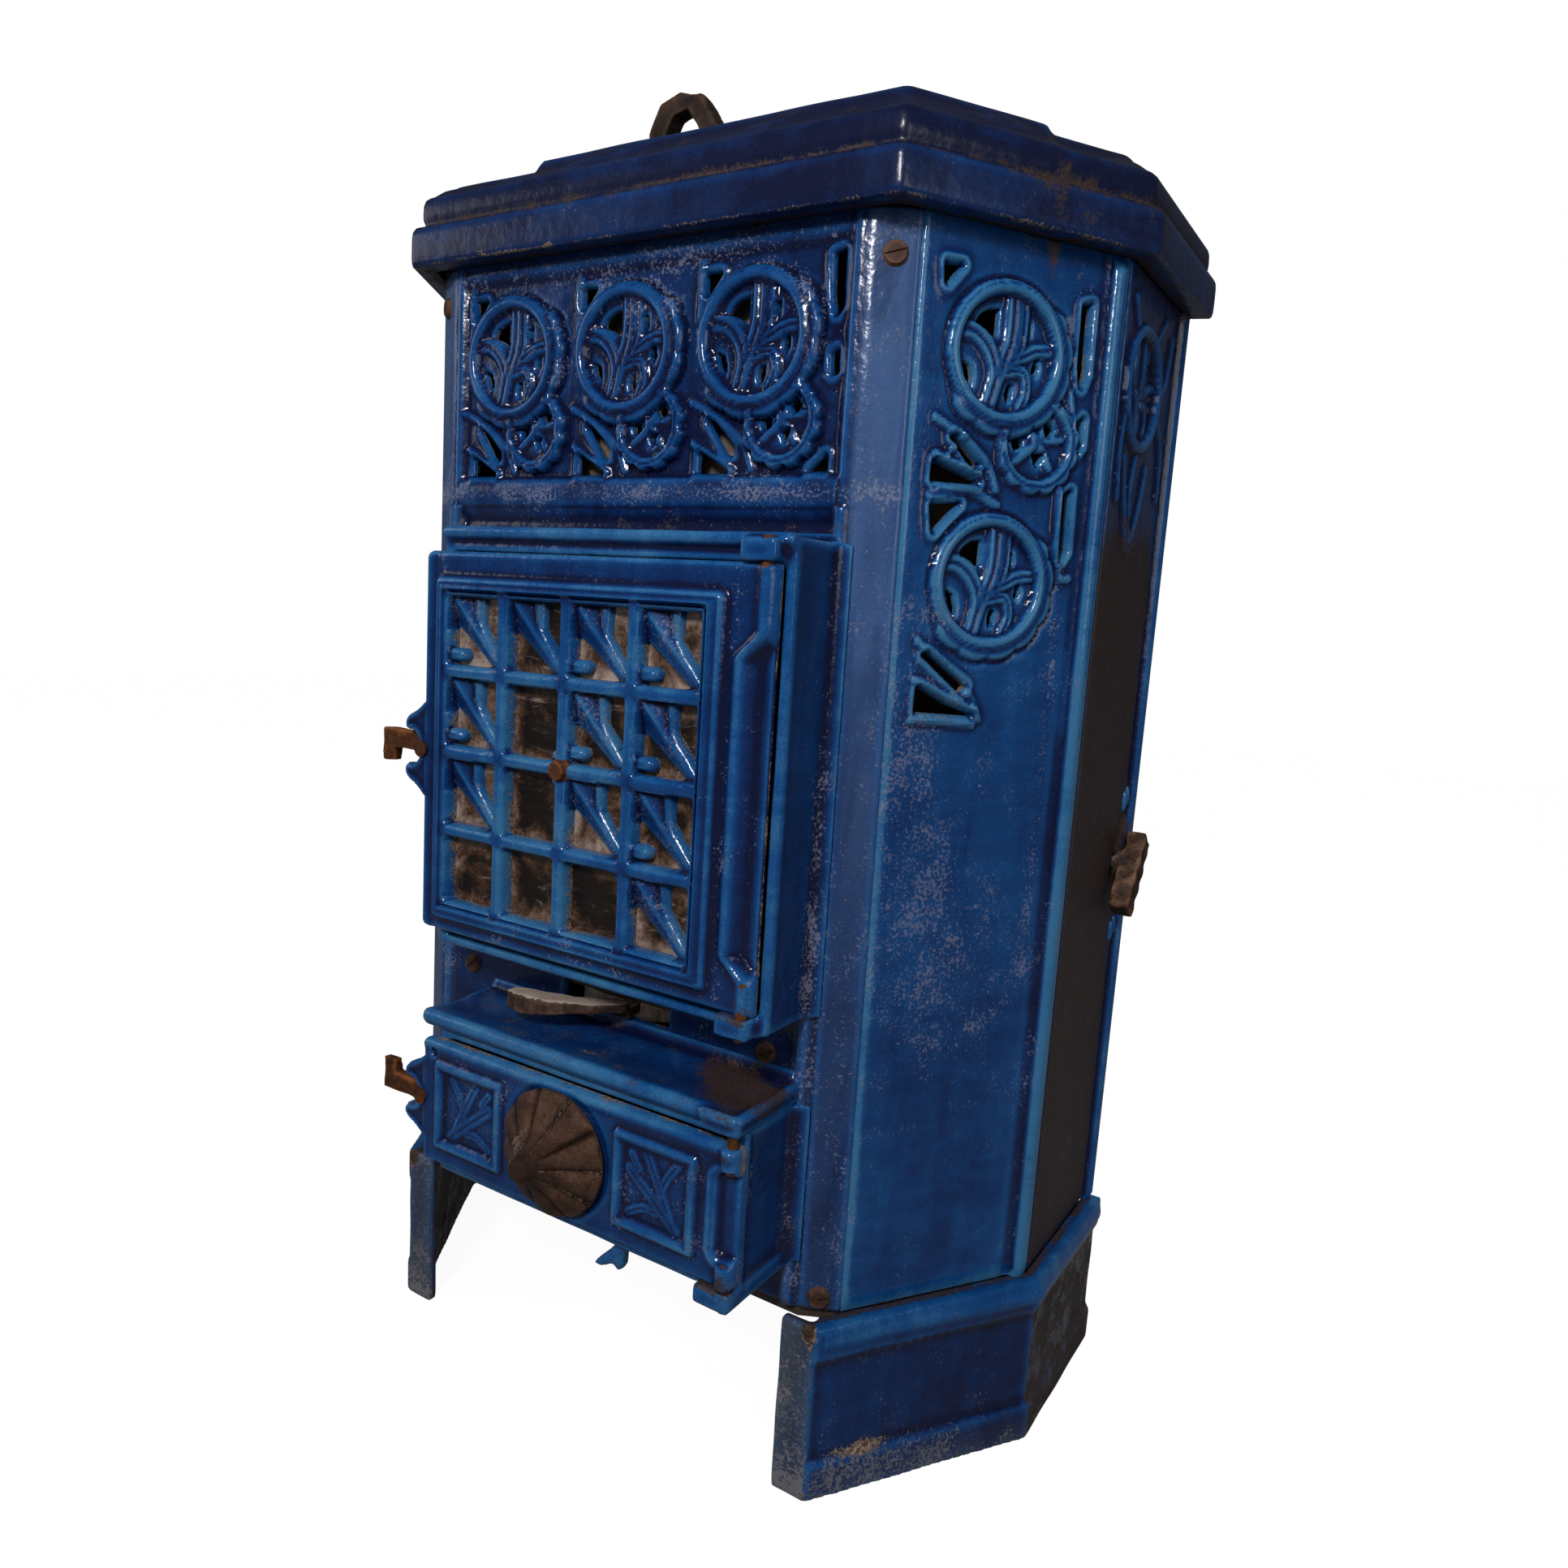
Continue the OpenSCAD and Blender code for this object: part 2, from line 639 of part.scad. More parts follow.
// Four panes behind the window, each over a quarter of the cells.
mica_t = 1;
mica_frame_t = 3;
module mica_panes() {
    half = window_half / 2;
    placed() color("tan") difference() {
        for (s = [-1, 1], u = [-1, 1]) translate([window_x + s * half, 0, window_z + u * half])
            block(0.5 - half, half - 0.5, fire_back_y, fire_back_y + mica_t, 0.5 - half, half - 0.5);
        rod_y(fire_back_y - 1, fire_back_y + 3, window_x, window_z, 6);
    }
}
module mica_frame() {
    y0 = fire_back_y + mica_t;
    half = window_half / 2;
    open = half - bar_w;
    placed() color(iron) difference() {
        block(window_x - window_half - 3, window_x + window_half + 3, y0, y0 + mica_frame_t,
            window_z - window_half - 3, window_z + window_half + 3);
        for (s = [-1, 1], u = [-1, 1]) translate([window_x + s * half, 0, window_z + u * half])
            block(-open, open, y0 - 1, y0 + mica_frame_t + 1, -open, open);
        rod_y(y0 - 1, y0 + mica_frame_t + 1, window_x, window_z, 3 + pin_clear);
    }
}
module window_rivet() {
    placed() color(iron) {
        clinch_y = fire_back_y + mica_t + mica_frame_t;
        rod_y(fire_front_y, clinch_y + 3, window_x, window_z, 3);
        rod_y(fire_front_y - 3, fire_front_y, window_x, window_z, 8);
        rod_y(clinch_y, clinch_y + 4, window_x, window_z, 5.5);
    }
}
module hinge_pin_pair(x, y, z0, z1, lug) {
    grip = 20;
    rod_z(z1 - grip, z1 + gap + lug + 1, x, y, pin_r);
    rod_z(z0 - gap - lug - 1, z0 + grip, x, y, pin_r);
}
module fire_hinge_pins() {
    placed() color(iron) hinge_pin_pair(fire_hinge_x, fire_hinge_y, fire_door_z, fire_top_z, lug_h);
}
// A lever on a pin through the nose. Its bar reaches out through the notch.
module latch(x0, z, y1, up) {
    tip = latch_out - latch_reach;
    placed() color(iron) translate([x0 - latch_out, y1 + gap, z]) mirror([0, 0, up ? 1 : 0])
    difference() {
        union() {
            rod_y(0, latch_t, 0, 0, latch_r);
            block(tip, 0, 0, latch_t, -2, 9);
            block(tip, tip + 12, 0, latch_t, -13, 9);
        }
        rod_y(-1, latch_t + 1, 0, 0, latch_pin_r + pin_clear);
    }
}
// The collar on the pivot that sets the tail back behind the keeper
module latch_collar(x0, z, y1) {
    placed() color(iron) translate([x0 - latch_out, y1 + gap, z]) difference() {
        rod_y(latch_t, tail_y0, 0, 0, post_r);
        rod_y(latch_t - 1, tail_y0 + 1, 0, 0, latch_pin_r + pin_clear);
    }
}
// The tail that turns with the lever, on the back end of the pivot
module latch_tail(x0, z, y1, up) {
    placed() color(iron) translate([x0 - latch_out, y1 + gap, z]) mirror([0, 0, up ? 1 : 0])
    difference() {
        union() {
            rod_y(tail_y0, tail_y1, 0, 0, post_r);
            block(-tail_w / 2, tail_w / 2, tail_y0, tail_y1, -tail_l, 0);
        }
        rod_y(tail_y0 - 1, tail_y1 + 1, 0, 0, latch_pin_r + pin_clear);
    }
}
module fire_latch() { latch(fire_x0, fire_latch_z, fire_back_y, false); }
module fire_latch_collar() { latch_collar(fire_x0, fire_latch_z, fire_back_y); }
module fire_latch_tail() { latch_tail(fire_x0, fire_latch_z, fire_back_y, false); }
module latch_pivot(x0, z, y0, y1) {
    end_y = y1 + gap + tail_y1;
    placed() color(iron) translate([x0 - latch_out, 0, z]) {
        rod_y(y0, end_y + gap + 3, 0, 0, latch_pin_r);
        rod_y(y0 - 2, y0, 0, 0, latch_head_r);
        rod_y(end_y + gap, end_y + gap + 3, 0, 0, latch_head_r);
    }
}
module fire_keeper() { keeper(fire_x0, fire_latch_z, fire_back_y, false); }
module fire_latch_pivot() { latch_pivot(fire_x0, fire_latch_z, fire_front_y, fire_back_y); }

// ---- Ash door assembly ----
module ash_box() {
    lug_x0 = ash_hinge_x - 20;
    placed() color(enamel) difference() {
        union() {
            difference() {
                block(ash_box_x0, ash_box_x1, ash_neck_y, 0, ash_box_z0, ash_box_z1);
                block(ash_box_x0 + ash_wall, ash_box_x1 - ash_wall, ash_neck_y - 1, 1,
                    ash_box_z0 + ash_wall, ash_box_z1 - ash_wall);
            }
            // Lower hinge lug
            block(lug_x0, ash_hinge_x + ash_hinge_r, ash_hinge_y - ash_hinge_r, 0,
                ash_door_z - gap - ash_lug_h, ash_door_z - gap);
            // Small cast toe under the floor of the box
            translate([rosette_x + 40, -toe_back, ash_box_z0]) rotate([90, 0, 0]) linear_extrude(toe_t)
                polygon([[16, 1], [2, 1], [-6, -10], [-18, -22], [-20, -26], [-12, -25], [-4, -20],
                    [1, -24], [4, -20], [5, -10], [10, -4]]);
        }
        rod_z(ash_box_z0 - 20, ash_door_z + 1, ash_hinge_x, ash_hinge_y, pin_r + pin_clear);
    }
}
module ledge() {
    placed() color(enamel) difference() {
        union() {
            block(ash_x0 - 4, ash_box_x1, ash_back_y - 4, 0, ash_box_z1, ledge_z);
            block(ash_hinge_x - 20, ash_hinge_x + ash_hinge_r, ash_hinge_y - ash_hinge_r, 0,
                ash_box_z1, ledge_z);
        }
        rod_z(ash_box_z1 - 1, ledge_z - 2, ash_hinge_x, ash_hinge_y, pin_r + pin_clear);
    }
}
module ash_door() {
    y0 = ash_front_y;
    y1 = ash_back_y;
    knuckle_h = ash_door_h * 0.22;
    placed() color(enamel_light) difference() {
        union() {
            block(ash_x0, ash_hinge_x - 3, y0, y1, ash_door_z, ash_top_z);
            nose(ash_x0, ash_latch_z, nose_out, 30, y0, y1);
            rod_z(ash_door_z, ash_door_z + knuckle_h, ash_hinge_x, ash_hinge_y, ash_hinge_r);
            rod_z(ash_top_z - knuckle_h, ash_top_z, ash_hinge_x, ash_hinge_y, ash_hinge_r);
            // Raised square frames at each side of the air valve
            for (s = [-1, 1]) difference() {
                block(rosette_x + s * 79 - 31, rosette_x + s * 79 + 31, y0 - 3, y0,
                    rosette_z - 31, rosette_z + 31);
                block(rosette_x + s * 79 - 26, rosette_x + s * 79 + 26, y0 - 4, y0 + 1,
                    rosette_z - 26, rosette_z + 26);
            }
        }
        // Air hole with a bridge that carries the threaded spindle
        difference() {
            rod_y(y0 - 1, y1 + 1, rosette_x, rosette_z, air_hole_r);
            block(rosette_x - 40, rosette_x + 40, y0 + 1, y1, rosette_z - 11, rosette_z + 11);
        }
        rod_y(y0 - 1, y1 + 1, rosette_x, rosette_z, spindle_r + pin_clear);
        rod_z(ash_door_z - 1, ash_top_z + 1, ash_hinge_x, ash_hinge_y, pin_r + pin_clear);
        rod_y(y0 - 1, y1 + 1, ash_x0 - latch_out, ash_latch_z, latch_pin_r + pin_clear);
    }
}
// The lower pin stands in the lug, the upper one in the ledge's blind hole.
module ash_hinge_pins() {
    grip = 16;
    placed() color(iron) {
        rod_z(ash_top_z - grip, ledge_z - 3, ash_hinge_x, ash_hinge_y, pin_r);
        rod_z(ash_door_z - gap - ash_lug_h - 1, ash_door_z + grip, ash_hinge_x, ash_hinge_y, pin_r);
    }
}
module ash_latch() { latch(ash_x0, ash_latch_z, ash_back_y, true); }
module ash_latch_collar() { latch_collar(ash_x0, ash_latch_z, ash_back_y); }
module ash_latch_tail() { latch_tail(ash_x0, ash_latch_z, ash_back_y, true); }
module ash_keeper() { keeper(ash_x0, ash_latch_z, ash_back_y, true); }
module ash_latch_pivot() { latch_pivot(ash_x0, ash_latch_z, ash_front_y, ash_back_y); }
module air_spindle() {
    placed() color(iron) rod_y(ash_front_y - gap - 20, ash_back_y + rosette_travel + 4,
        rosette_x, rosette_z, spindle_r);
}
module air_rosette() {
    y = ash_front_y - gap;
    placed() color(iron) translate([rosette_x, y, rosette_z]) rotate([90, 0, 0]) difference() {
        rotate_extrude() polygon([[0, 0], [rosette_r, 0], [rosette_r, rosette_plate], [30, 12], [16, 20],
            [9, 26], [7, rosette_nose - 8], [8, rosette_nose - 3],
            [5, rosette_nose - gap], [0, rosette_nose - gap]]);
        translate([0, 0, -1]) cylinder(r = spindle_r + pin_clear, h = 21.5);
    }
}

// ---- Ash space ----
module ash_pan() {
    x0 = pan_x - pan_w / 2;
    x1 = pan_x + pan_w / 2;
    placed() color("dimgray") {
        difference() {
            block(x0, x1, pan_y0, pan_y1, pan_z, pan_z + pan_h);
            block(x0 + pan_t, x1 - pan_t, pan_y0 + pan_t, pan_y1 - pan_t, pan_z + pan_t, pan_z + pan_h + 1);
        }
        // Finger tab at the front, below the air valve's spindle
        block(pan_x - 25, pan_x + 25, pan_y0 - pan_tab, pan_y0 + 1, pan_z + 22, pan_z + 25);
    }
}
module ash_cheeks() {
    y0 = panel_t + 1;
    y1 = pan_y1 + 12;
    placed() color(iron) for (s = [-1, 1]) {
        translate([pan_x, 0, 0]) mirrored(s < 0) {
            block(cheek_half, cheek_half + cheek_t, y0, y1, plinth_h, frame_z);
            block(cheek_half - rail_w, cheek_half + 1, y0, y1, pan_z - 8, pan_z - gap);
        }
    }
}

// ---- Grate ----
module grate_frame() {
    half = fire_w / 2 + brick_t + 6;
    placed() color(iron) difference() {
        block(chamber_x - half, chamber_x + half, panel_t + 1, chamber_y0 + fire_d + brick_t + 2,
            frame_z, frame_z + frame_t);
        rod_z(frame_z + lip_h, frame_z + frame_t + 1, grate_x, grate_y, grate_r + 1);
        rod_z(frame_z - 1, frame_z + lip_h + 1, grate_x, grate_y, grate_r - lip_w);
    }
}
module grate() {
    slots = 7;
    slot_pitch = grate_r * 0.22;
    placed() color(iron) translate([grate_x, grate_y, 0]) rotate([0, 0, lever_rest]) {
        difference() {
            rod_z(grate_z, grate_z + grate_t, 0, 0, grate_r);
            for (i = [-(slots - 1) / 2:(slots - 1) / 2]) {
                reach = sqrt(pow(grate_r - 9, 2) - pow(i * slot_pitch, 2));
                if (i != 0) translate([i * slot_pitch, 0, 0])
                    block(-3.5, 3.5, -reach, reach, grate_z - 1, grate_z + grate_t + 1);
            }
        }
        rod_z(shank_z + shank_h, grate_z, 0, 0, 14);
    }
}
module shaker_lever() {
    placed() color(iron) translate([grate_x, grate_y, 0]) rotate([0, 0, lever_rest]) {
        rod_z(shank_z, shank_z + shank_h, 0, 0, 14);
        block(-shank_w / 2, shank_w / 2, -grate_y - 8, 0, shank_z, shank_z + shank_h);
        // Handle bent to the left outside the front plate
        translate([0, -grate_y - 2, 0])
            slab([[-shank_w / 2, -4], [shank_w / 2, -4], [shank_w / 2, -10], [-12, -24], [-40, -33],
                [-66, -32], [-76, -27], [-74, -19], [-60, -16], [-30, -14], [-12, -7]],
                shank_z, shank_z + shank_h + 5);
    }
}
module slot_shield() {
    r = grate_y - panel_t - 1;
    placed() color(iron) translate([grate_x, grate_y, 0]) rotate([0, 0, lever_rest]) difference() {
        translate([0, 0, slot_z0 - 3]) rotate([0, 0, -90 - 33]) rotate_extrude(angle = 66)
            translate([r - 3, 0]) square([3, slot_z1 - 7 - slot_z0 + 3]);
        block(-shank_w / 2, shank_w / 2, -grate_y, 0, shank_z, shank_z + shank_h);
    }
}

// ---- Fire space ----
module brick(x0, x1, y0, y1) {
    placed() color("burlywood") block(x0, x1, y0, y1, brick_z, brick_z + brick_h);
}
module brick_left() {
    x = chamber_x - fire_w / 2;
    brick(x - brick_t, x, chamber_y0, chamber_y0 + fire_d);
}
module brick_right() {
    x = chamber_x + fire_w / 2;
    brick(x, x + brick_t, chamber_y0, chamber_y0 + fire_d);
}
module brick_back() {
    y = chamber_y0 + fire_d;
    brick(chamber_x - fire_w / 2 - brick_t, chamber_x + fire_w / 2 + brick_t, y, y + brick_t);
}
module hopper() {
    half = plug_r - plug_seat + 4;
    placed() color(iron) difference() {
        union() {
            block(chamber_x - half - hopper_t, chamber_x + half + hopper_t, plug_y - half - hopper_t,
                plug_y + half + hopper_t, hopper_z, body_top);
        }
        block(chamber_x - half, chamber_x + half, plug_y - half, plug_y + half, hopper_z - 1, body_top + 1);
    }
}

// ---- Flue ----
module flue_collar() {
    placed() color(iron) difference() {
        union() {
            rod_y(flue_in_y, back_y + flue_out, 0, flue_z, flue_r);
            rod_y(back_y, back_y + 5, 0, flue_z, flue_r + 16);
        }
        rod_y(flue_in_y - 1, back_y + flue_out + 1, 0, flue_z, flue_r - flue_wall);
        rod_x(-flue_r - 1, flue_r + 1, damper_y, flue_z, damper_r + pin_clear);
    }
}
module damper_plate() {
    placed() color(iron) translate([0, damper_y, flue_z]) rotate([-key_tilt, 0, 0]) difference() {
        union() {
            rod_y(-damper_t / 2, damper_t / 2, 0, 0, flue_r - flue_wall - 2);
            rod_x(-34, 34, 0, 0, damper_r + 3);
        }
        rod_x(-flue_r, flue_r, 0, 0, damper_r + pin_clear);
    }
}
module damper_spindle() {
    placed() color(iron) rod_x(-flue_r - 3, side_x + boss_t + gap, damper_y, flue_z, damper_r);
}
module damper_key() {
    x = side_x + boss_t + gap;
    placed() color("gray") translate([x, damper_y, flue_z]) rotate([-key_tilt, 0, 0]) union() {
        block(0, spindle_x1 - x, -key_w / 2, key_w / 2, -key_l * 0.62, key_l * 0.38);
    }
}

// ---- Rods and screws ----
module tie_rods() {
    placed() color(iron) for (p = rods) {
        rod_z(plinth_h - plate_t - nut_h - 3, top_plate_z + nut_h + 2, p[0], p[1], rod_r);
        translate([p[0], p[1], top_plate_z]) cylinder(r = 7.5, h = nut_h, $fn = 6);
        translate([p[0], p[1], plinth_h - plate_t - nut_h]) cylinder(r = 7.5, h = nut_h, $fn = 6);
    }
}
module slotted_screw(length) {
    difference() {
        union() {
            rod_y(-head_h, 0, 0, 0, head_r);
            rod_y(-0.1, length, 0, 0, screw_r);
        }
        block(-head_r, head_r, -head_h - 1, -head_h + 1, -0.9, 0.9);
    }
}
module panel_screws() {
    placed() color(iron) for (s = [-1, 1]) mirrored(s < 0) on_facet() for (z = screw_zs)
        translate([corner_facet / 2, 0, z]) slotted_screw(panel_t + flange_t + 4);
}
module frame_screws() {
    placed() color(iron) for (x = [-128.5, 128.5])
        translate([x, 0, frame_screw_z]) slotted_screw(panel_t + 6);
}

plinth_left();
plinth_right();
bottom_plate();
front_plate();
canted_panel_left();
canted_panel_right();
side_panel_left();
side_panel_right();
back_plate();
top_plate();
lid();
lid_loop();
lid_hinge_pins();
loading_plug();
fire_door_frame();
fire_door();
mica_panes();
mica_frame();
window_rivet();
fire_hinge_pins();
fire_latch();
fire_latch_collar();
fire_latch_tail();
fire_latch_pivot();
fire_keeper();
ash_box();
ledge();
ash_door();
ash_hinge_pins();
ash_latch();
ash_latch_collar();
ash_latch_tail();
ash_latch_pivot();
ash_keeper();
air_spindle();
air_rosette();
ash_pan();
ash_cheeks();
grate_frame();
grate();
shaker_lever();
slot_shield();
brick_left();
brick_right();
brick_back();
hopper();
flue_collar();
damper_plate();
damper_spindle();
damper_key();
tie_rods();
panel_screws();
frame_screws();
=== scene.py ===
import math

import bmesh
import bpy
import numpy as np
from mathutils import Matrix, Vector


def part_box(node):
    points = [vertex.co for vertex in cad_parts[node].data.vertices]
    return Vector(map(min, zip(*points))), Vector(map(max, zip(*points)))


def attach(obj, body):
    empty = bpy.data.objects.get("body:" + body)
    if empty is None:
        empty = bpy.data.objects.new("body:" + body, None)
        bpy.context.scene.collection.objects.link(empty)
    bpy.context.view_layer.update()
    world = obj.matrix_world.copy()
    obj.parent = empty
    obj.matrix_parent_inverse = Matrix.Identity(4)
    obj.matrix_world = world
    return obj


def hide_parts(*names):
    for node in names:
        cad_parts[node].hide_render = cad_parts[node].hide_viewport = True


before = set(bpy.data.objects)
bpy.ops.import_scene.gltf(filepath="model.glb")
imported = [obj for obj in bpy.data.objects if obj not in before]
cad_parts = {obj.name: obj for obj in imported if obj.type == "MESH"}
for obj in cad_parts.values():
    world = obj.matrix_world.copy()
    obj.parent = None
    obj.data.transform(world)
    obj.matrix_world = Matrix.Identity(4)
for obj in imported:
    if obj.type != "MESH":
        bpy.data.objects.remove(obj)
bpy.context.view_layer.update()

# All places below are in millimetres from the foot of the front plate: x to the
# right of its middle, y to the back, z up from the floor.
stove = {
    "middleX": 1.5,        # from the front plate's middle to the part's own origin
    "middleY": 113.434,
    "sharpX": 177.86,      # where the front and the canted side would meet
    "frontHalf": 162.0,    # half the flat front, up to the corner facet
    "facet": 28.0,         # width of the corner facet
    "facetAngle": 28.0,
    "cantLength": 142.0,
    "cantEnd": (266.128, 130.87),
    "sideLength": 136.0,
    "backY": 266.87,
    "plinthTop": 118.0,
    "bodyTop": 768.0,
}


def toPart(points):  # stove millimetres to the part's own metres
    return (np.asarray(points, float) - [stove["middleX"], stove["middleY"], 0.0]) / 1000


def toStove(points):  # metres of the part to stove millimetres
    return np.asarray(points) * 1000 + [stove["middleX"], stove["middleY"], 0.0]


def newObject(name, data):
    made = bpy.data.objects.new(name, data)
    bpy.context.scene.collection.objects.link(made)
    return made


# Camera
view = {
    "position": (0.47391, -0.67852, 0.54647),
    "right": (0.84592, 0.52955, 0.06326),
    "up": (-0.13244, 0.09369, 0.98675),
    "forward": (-0.51661, 0.84309, -0.14939),
    "lens": 25.8,      # for a frame 36 mm wide
    "sees": (0.01, 50.0),
}
cameraData = bpy.data.cameras.new("photoCamera")
cameraData.lens = view["lens"]
cameraData.sensor_width = 36
cameraData.clip_start, cameraData.clip_end = view["sees"]
camera = newObject("photoCamera", cameraData)
turn = Matrix((view["right"], view["up"], [-c for c in view["forward"]])).transposed()
camera.matrix_world = Matrix.Translation(view["position"]) @ turn.to_4x4()
bpy.context.scene.camera = camera


# Small helpers for shapes
def stepUp(x, low, high):  # smooth 0 to 1
    t = np.clip((x - low) / (high - low), 0, 1)
    return t * t * (3 - 2 * t)


def hill(x, width=1.0):  # soft bump, 1 in its middle
    return np.exp(-(x / width) ** 2)


def bead(distance, half, height):  # half-round profile
    return height * np.sqrt(np.clip(1 - (distance / half) ** 2, 0, None))


def lineDistance(u, v, corners):  # to a line through the corners
    nearest = np.full(np.shape(u), np.inf)
    for (x0, y0), (x1, y1) in zip(corners[:-1], corners[1:]):
        ex, ey = x1 - x0, y1 - y0
        t = np.clip(((u - x0) * ex + (v - y0) * ey) / (ex * ex + ey * ey), 0, 1)
        nearest = np.minimum(nearest, np.hypot(u - x0 - t * ex, v - y0 - t * ey))
    return nearest


def shapeDistance(u, v, corners):  # to a closed outline, positive inside
    closed = [*corners, corners[0]]
    nearest = lineDistance(u, v, closed)
    inside = np.zeros(np.shape(u), bool)
    for (x0, y0), (x1, y1) in zip(closed, closed[1:]):
        if y0 != y1:
            inside ^= ((y0 > v) != (y1 > v)) & (u < (x1 - x0) * (v - y0) / (y1 - y0) + x0)
    return np.where(inside, nearest, -nearest)


def boxDistance(u, v, x0, x1, z0, z1, corner=0.0):  # positive inside
    qx = np.abs(u - (x0 + x1) / 2) - (x1 - x0) / 2 + corner
    qz = np.abs(v - (z0 + z1) / 2) - (z1 - z0) / 2 + corner
    outside = np.hypot(np.maximum(qx, 0), np.maximum(qz, 0))
    return corner - outside - np.minimum(np.maximum(qx, qz), 0)


def smoothCurve(corners, steps=6):  # rounds a polyline by Catmull-Rom
    p = [corners[0], *corners, corners[-1]]
    out = []
    for a, b, c, d in zip(p, p[1:], p[2:], p[3:]):
        for t in np.linspace(0, 1, steps, endpoint=False):
            out.append([0.5 * (2 * b[k] + (c[k] - a[k]) * t
                               + (2 * a[k] - 5 * b[k] + 4 * c[k] - d[k]) * t * t
                               + (3 * b[k] - a[k] - 3 * c[k] + d[k]) * t ** 3) for k in (0, 1)])
    out.append(list(corners[-1]))
    return out


def spacedGrid(low, high, step, fine=None, coarse=8.0):  # closer rows inside fine
    if fine is None:
        return np.linspace(low, high, max(2, int(round((high - low) / step)) + 1))
    parts = [low]
    for a, b, s in [(low, fine[0], coarse), (fine[0], fine[1], step), (fine[1], high, coarse)]:
        if b - a > 0.01:
            count = max(1, int(math.ceil((b - a) / s)))
            parts += list(np.linspace(a, b, count + 1)[1:])
    return np.array(parts)


def meshPiece(name, points, faces, sharp=50):
    mesh = bpy.data.meshes.new(name)
    mesh.from_pydata(np.asarray(points).tolist(), [], [list(f) for f in faces])
    mesh.validate()
    piece = newObject(name, mesh)
    finishShading(piece, sharp)
    return piece


def finishShading(piece, sharp=50):  # smooth, with edges above this angle kept sharp
    mesh = piece.data
    mesh.polygons.foreach_set("use_smooth", np.full(len(mesh.polygons), True))
    mesh.set_sharp_from_angle(angle=math.radians(sharp))
    mesh.update()


def setValue(piece, name, values):
    attribute = piece.data.attributes.get(name) or piece.data.attributes.new(name, "FLOAT", "POINT")
    attribute.data.foreach_set("value", np.asarray(values, np.float32))


def readBack(piece, name):  # an attribute's values
    return np.array([entry.value for entry in piece.data.attributes[name].data])


def vectorsOf(items, name, kind=float):
    found = np.zeros(len(items) * 3, kind)
    items.foreach_get(name, found)
    return found.reshape(-1, 3)


def pointsOf(piece):  # in stove millimetres
    return toStove(vectorsOf(piece.data.vertices, "co"))


def normalsOf(piece):
    return vectorsOf(piece.data.vertex_normals, "vector", np.float32)


def addWear(piece, steps=8, reach=0.45):
    # How far each point stands out of its smoothed surroundings: edges above 0, hollows below
    mesh = piece.data
    count = len(mesh.vertices)
    co = vectorsOf(mesh.vertices, "co") * 1000
    ends = np.zeros(len(mesh.edges) * 2, np.int32)
    mesh.edges.foreach_get("vertices", ends)
    a, b = ends.reshape(-1, 2).T
    weight = 1 / np.maximum(np.linalg.norm(co[a] - co[b], axis=1), 0.4) ** 2
    total = np.bincount(a, weight, count) + np.bincount(b, weight, count) + 1e-9
    soft = co.copy()
    for _ in range(steps):
        pulled = np.empty_like(soft)
        for k in range(3):
            pulled[:, k] = (np.bincount(a, weight * soft[b, k], count)
                            + np.bincount(b, weight * soft[a, k], count)) / total
        soft = 0.4 * soft + 0.6 * pulled
    value = ((co - soft) * normalsOf(piece)).sum(1) / reach
    setValue(piece, "edge", np.clip(value, -1, 1))


def own(piece, body, slot, material, *nodes):  # the piece's body, slot and the nodes it stands for; slot is not used
    piece.data.materials.clear()
    piece.data.materials.append(material)
    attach(piece, body)
    if nodes:
        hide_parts(*nodes)
    return piece


plateCut = {
    "snap": 0.505,        # share of a cell within which a point is pulled onto the outline
    "sliver": -0.05,      # a face whose middle lies further outside than this is left out
    "rimWear": 1.2,       # width of the bare line round each opening
    "rimBare": 0.55,
}


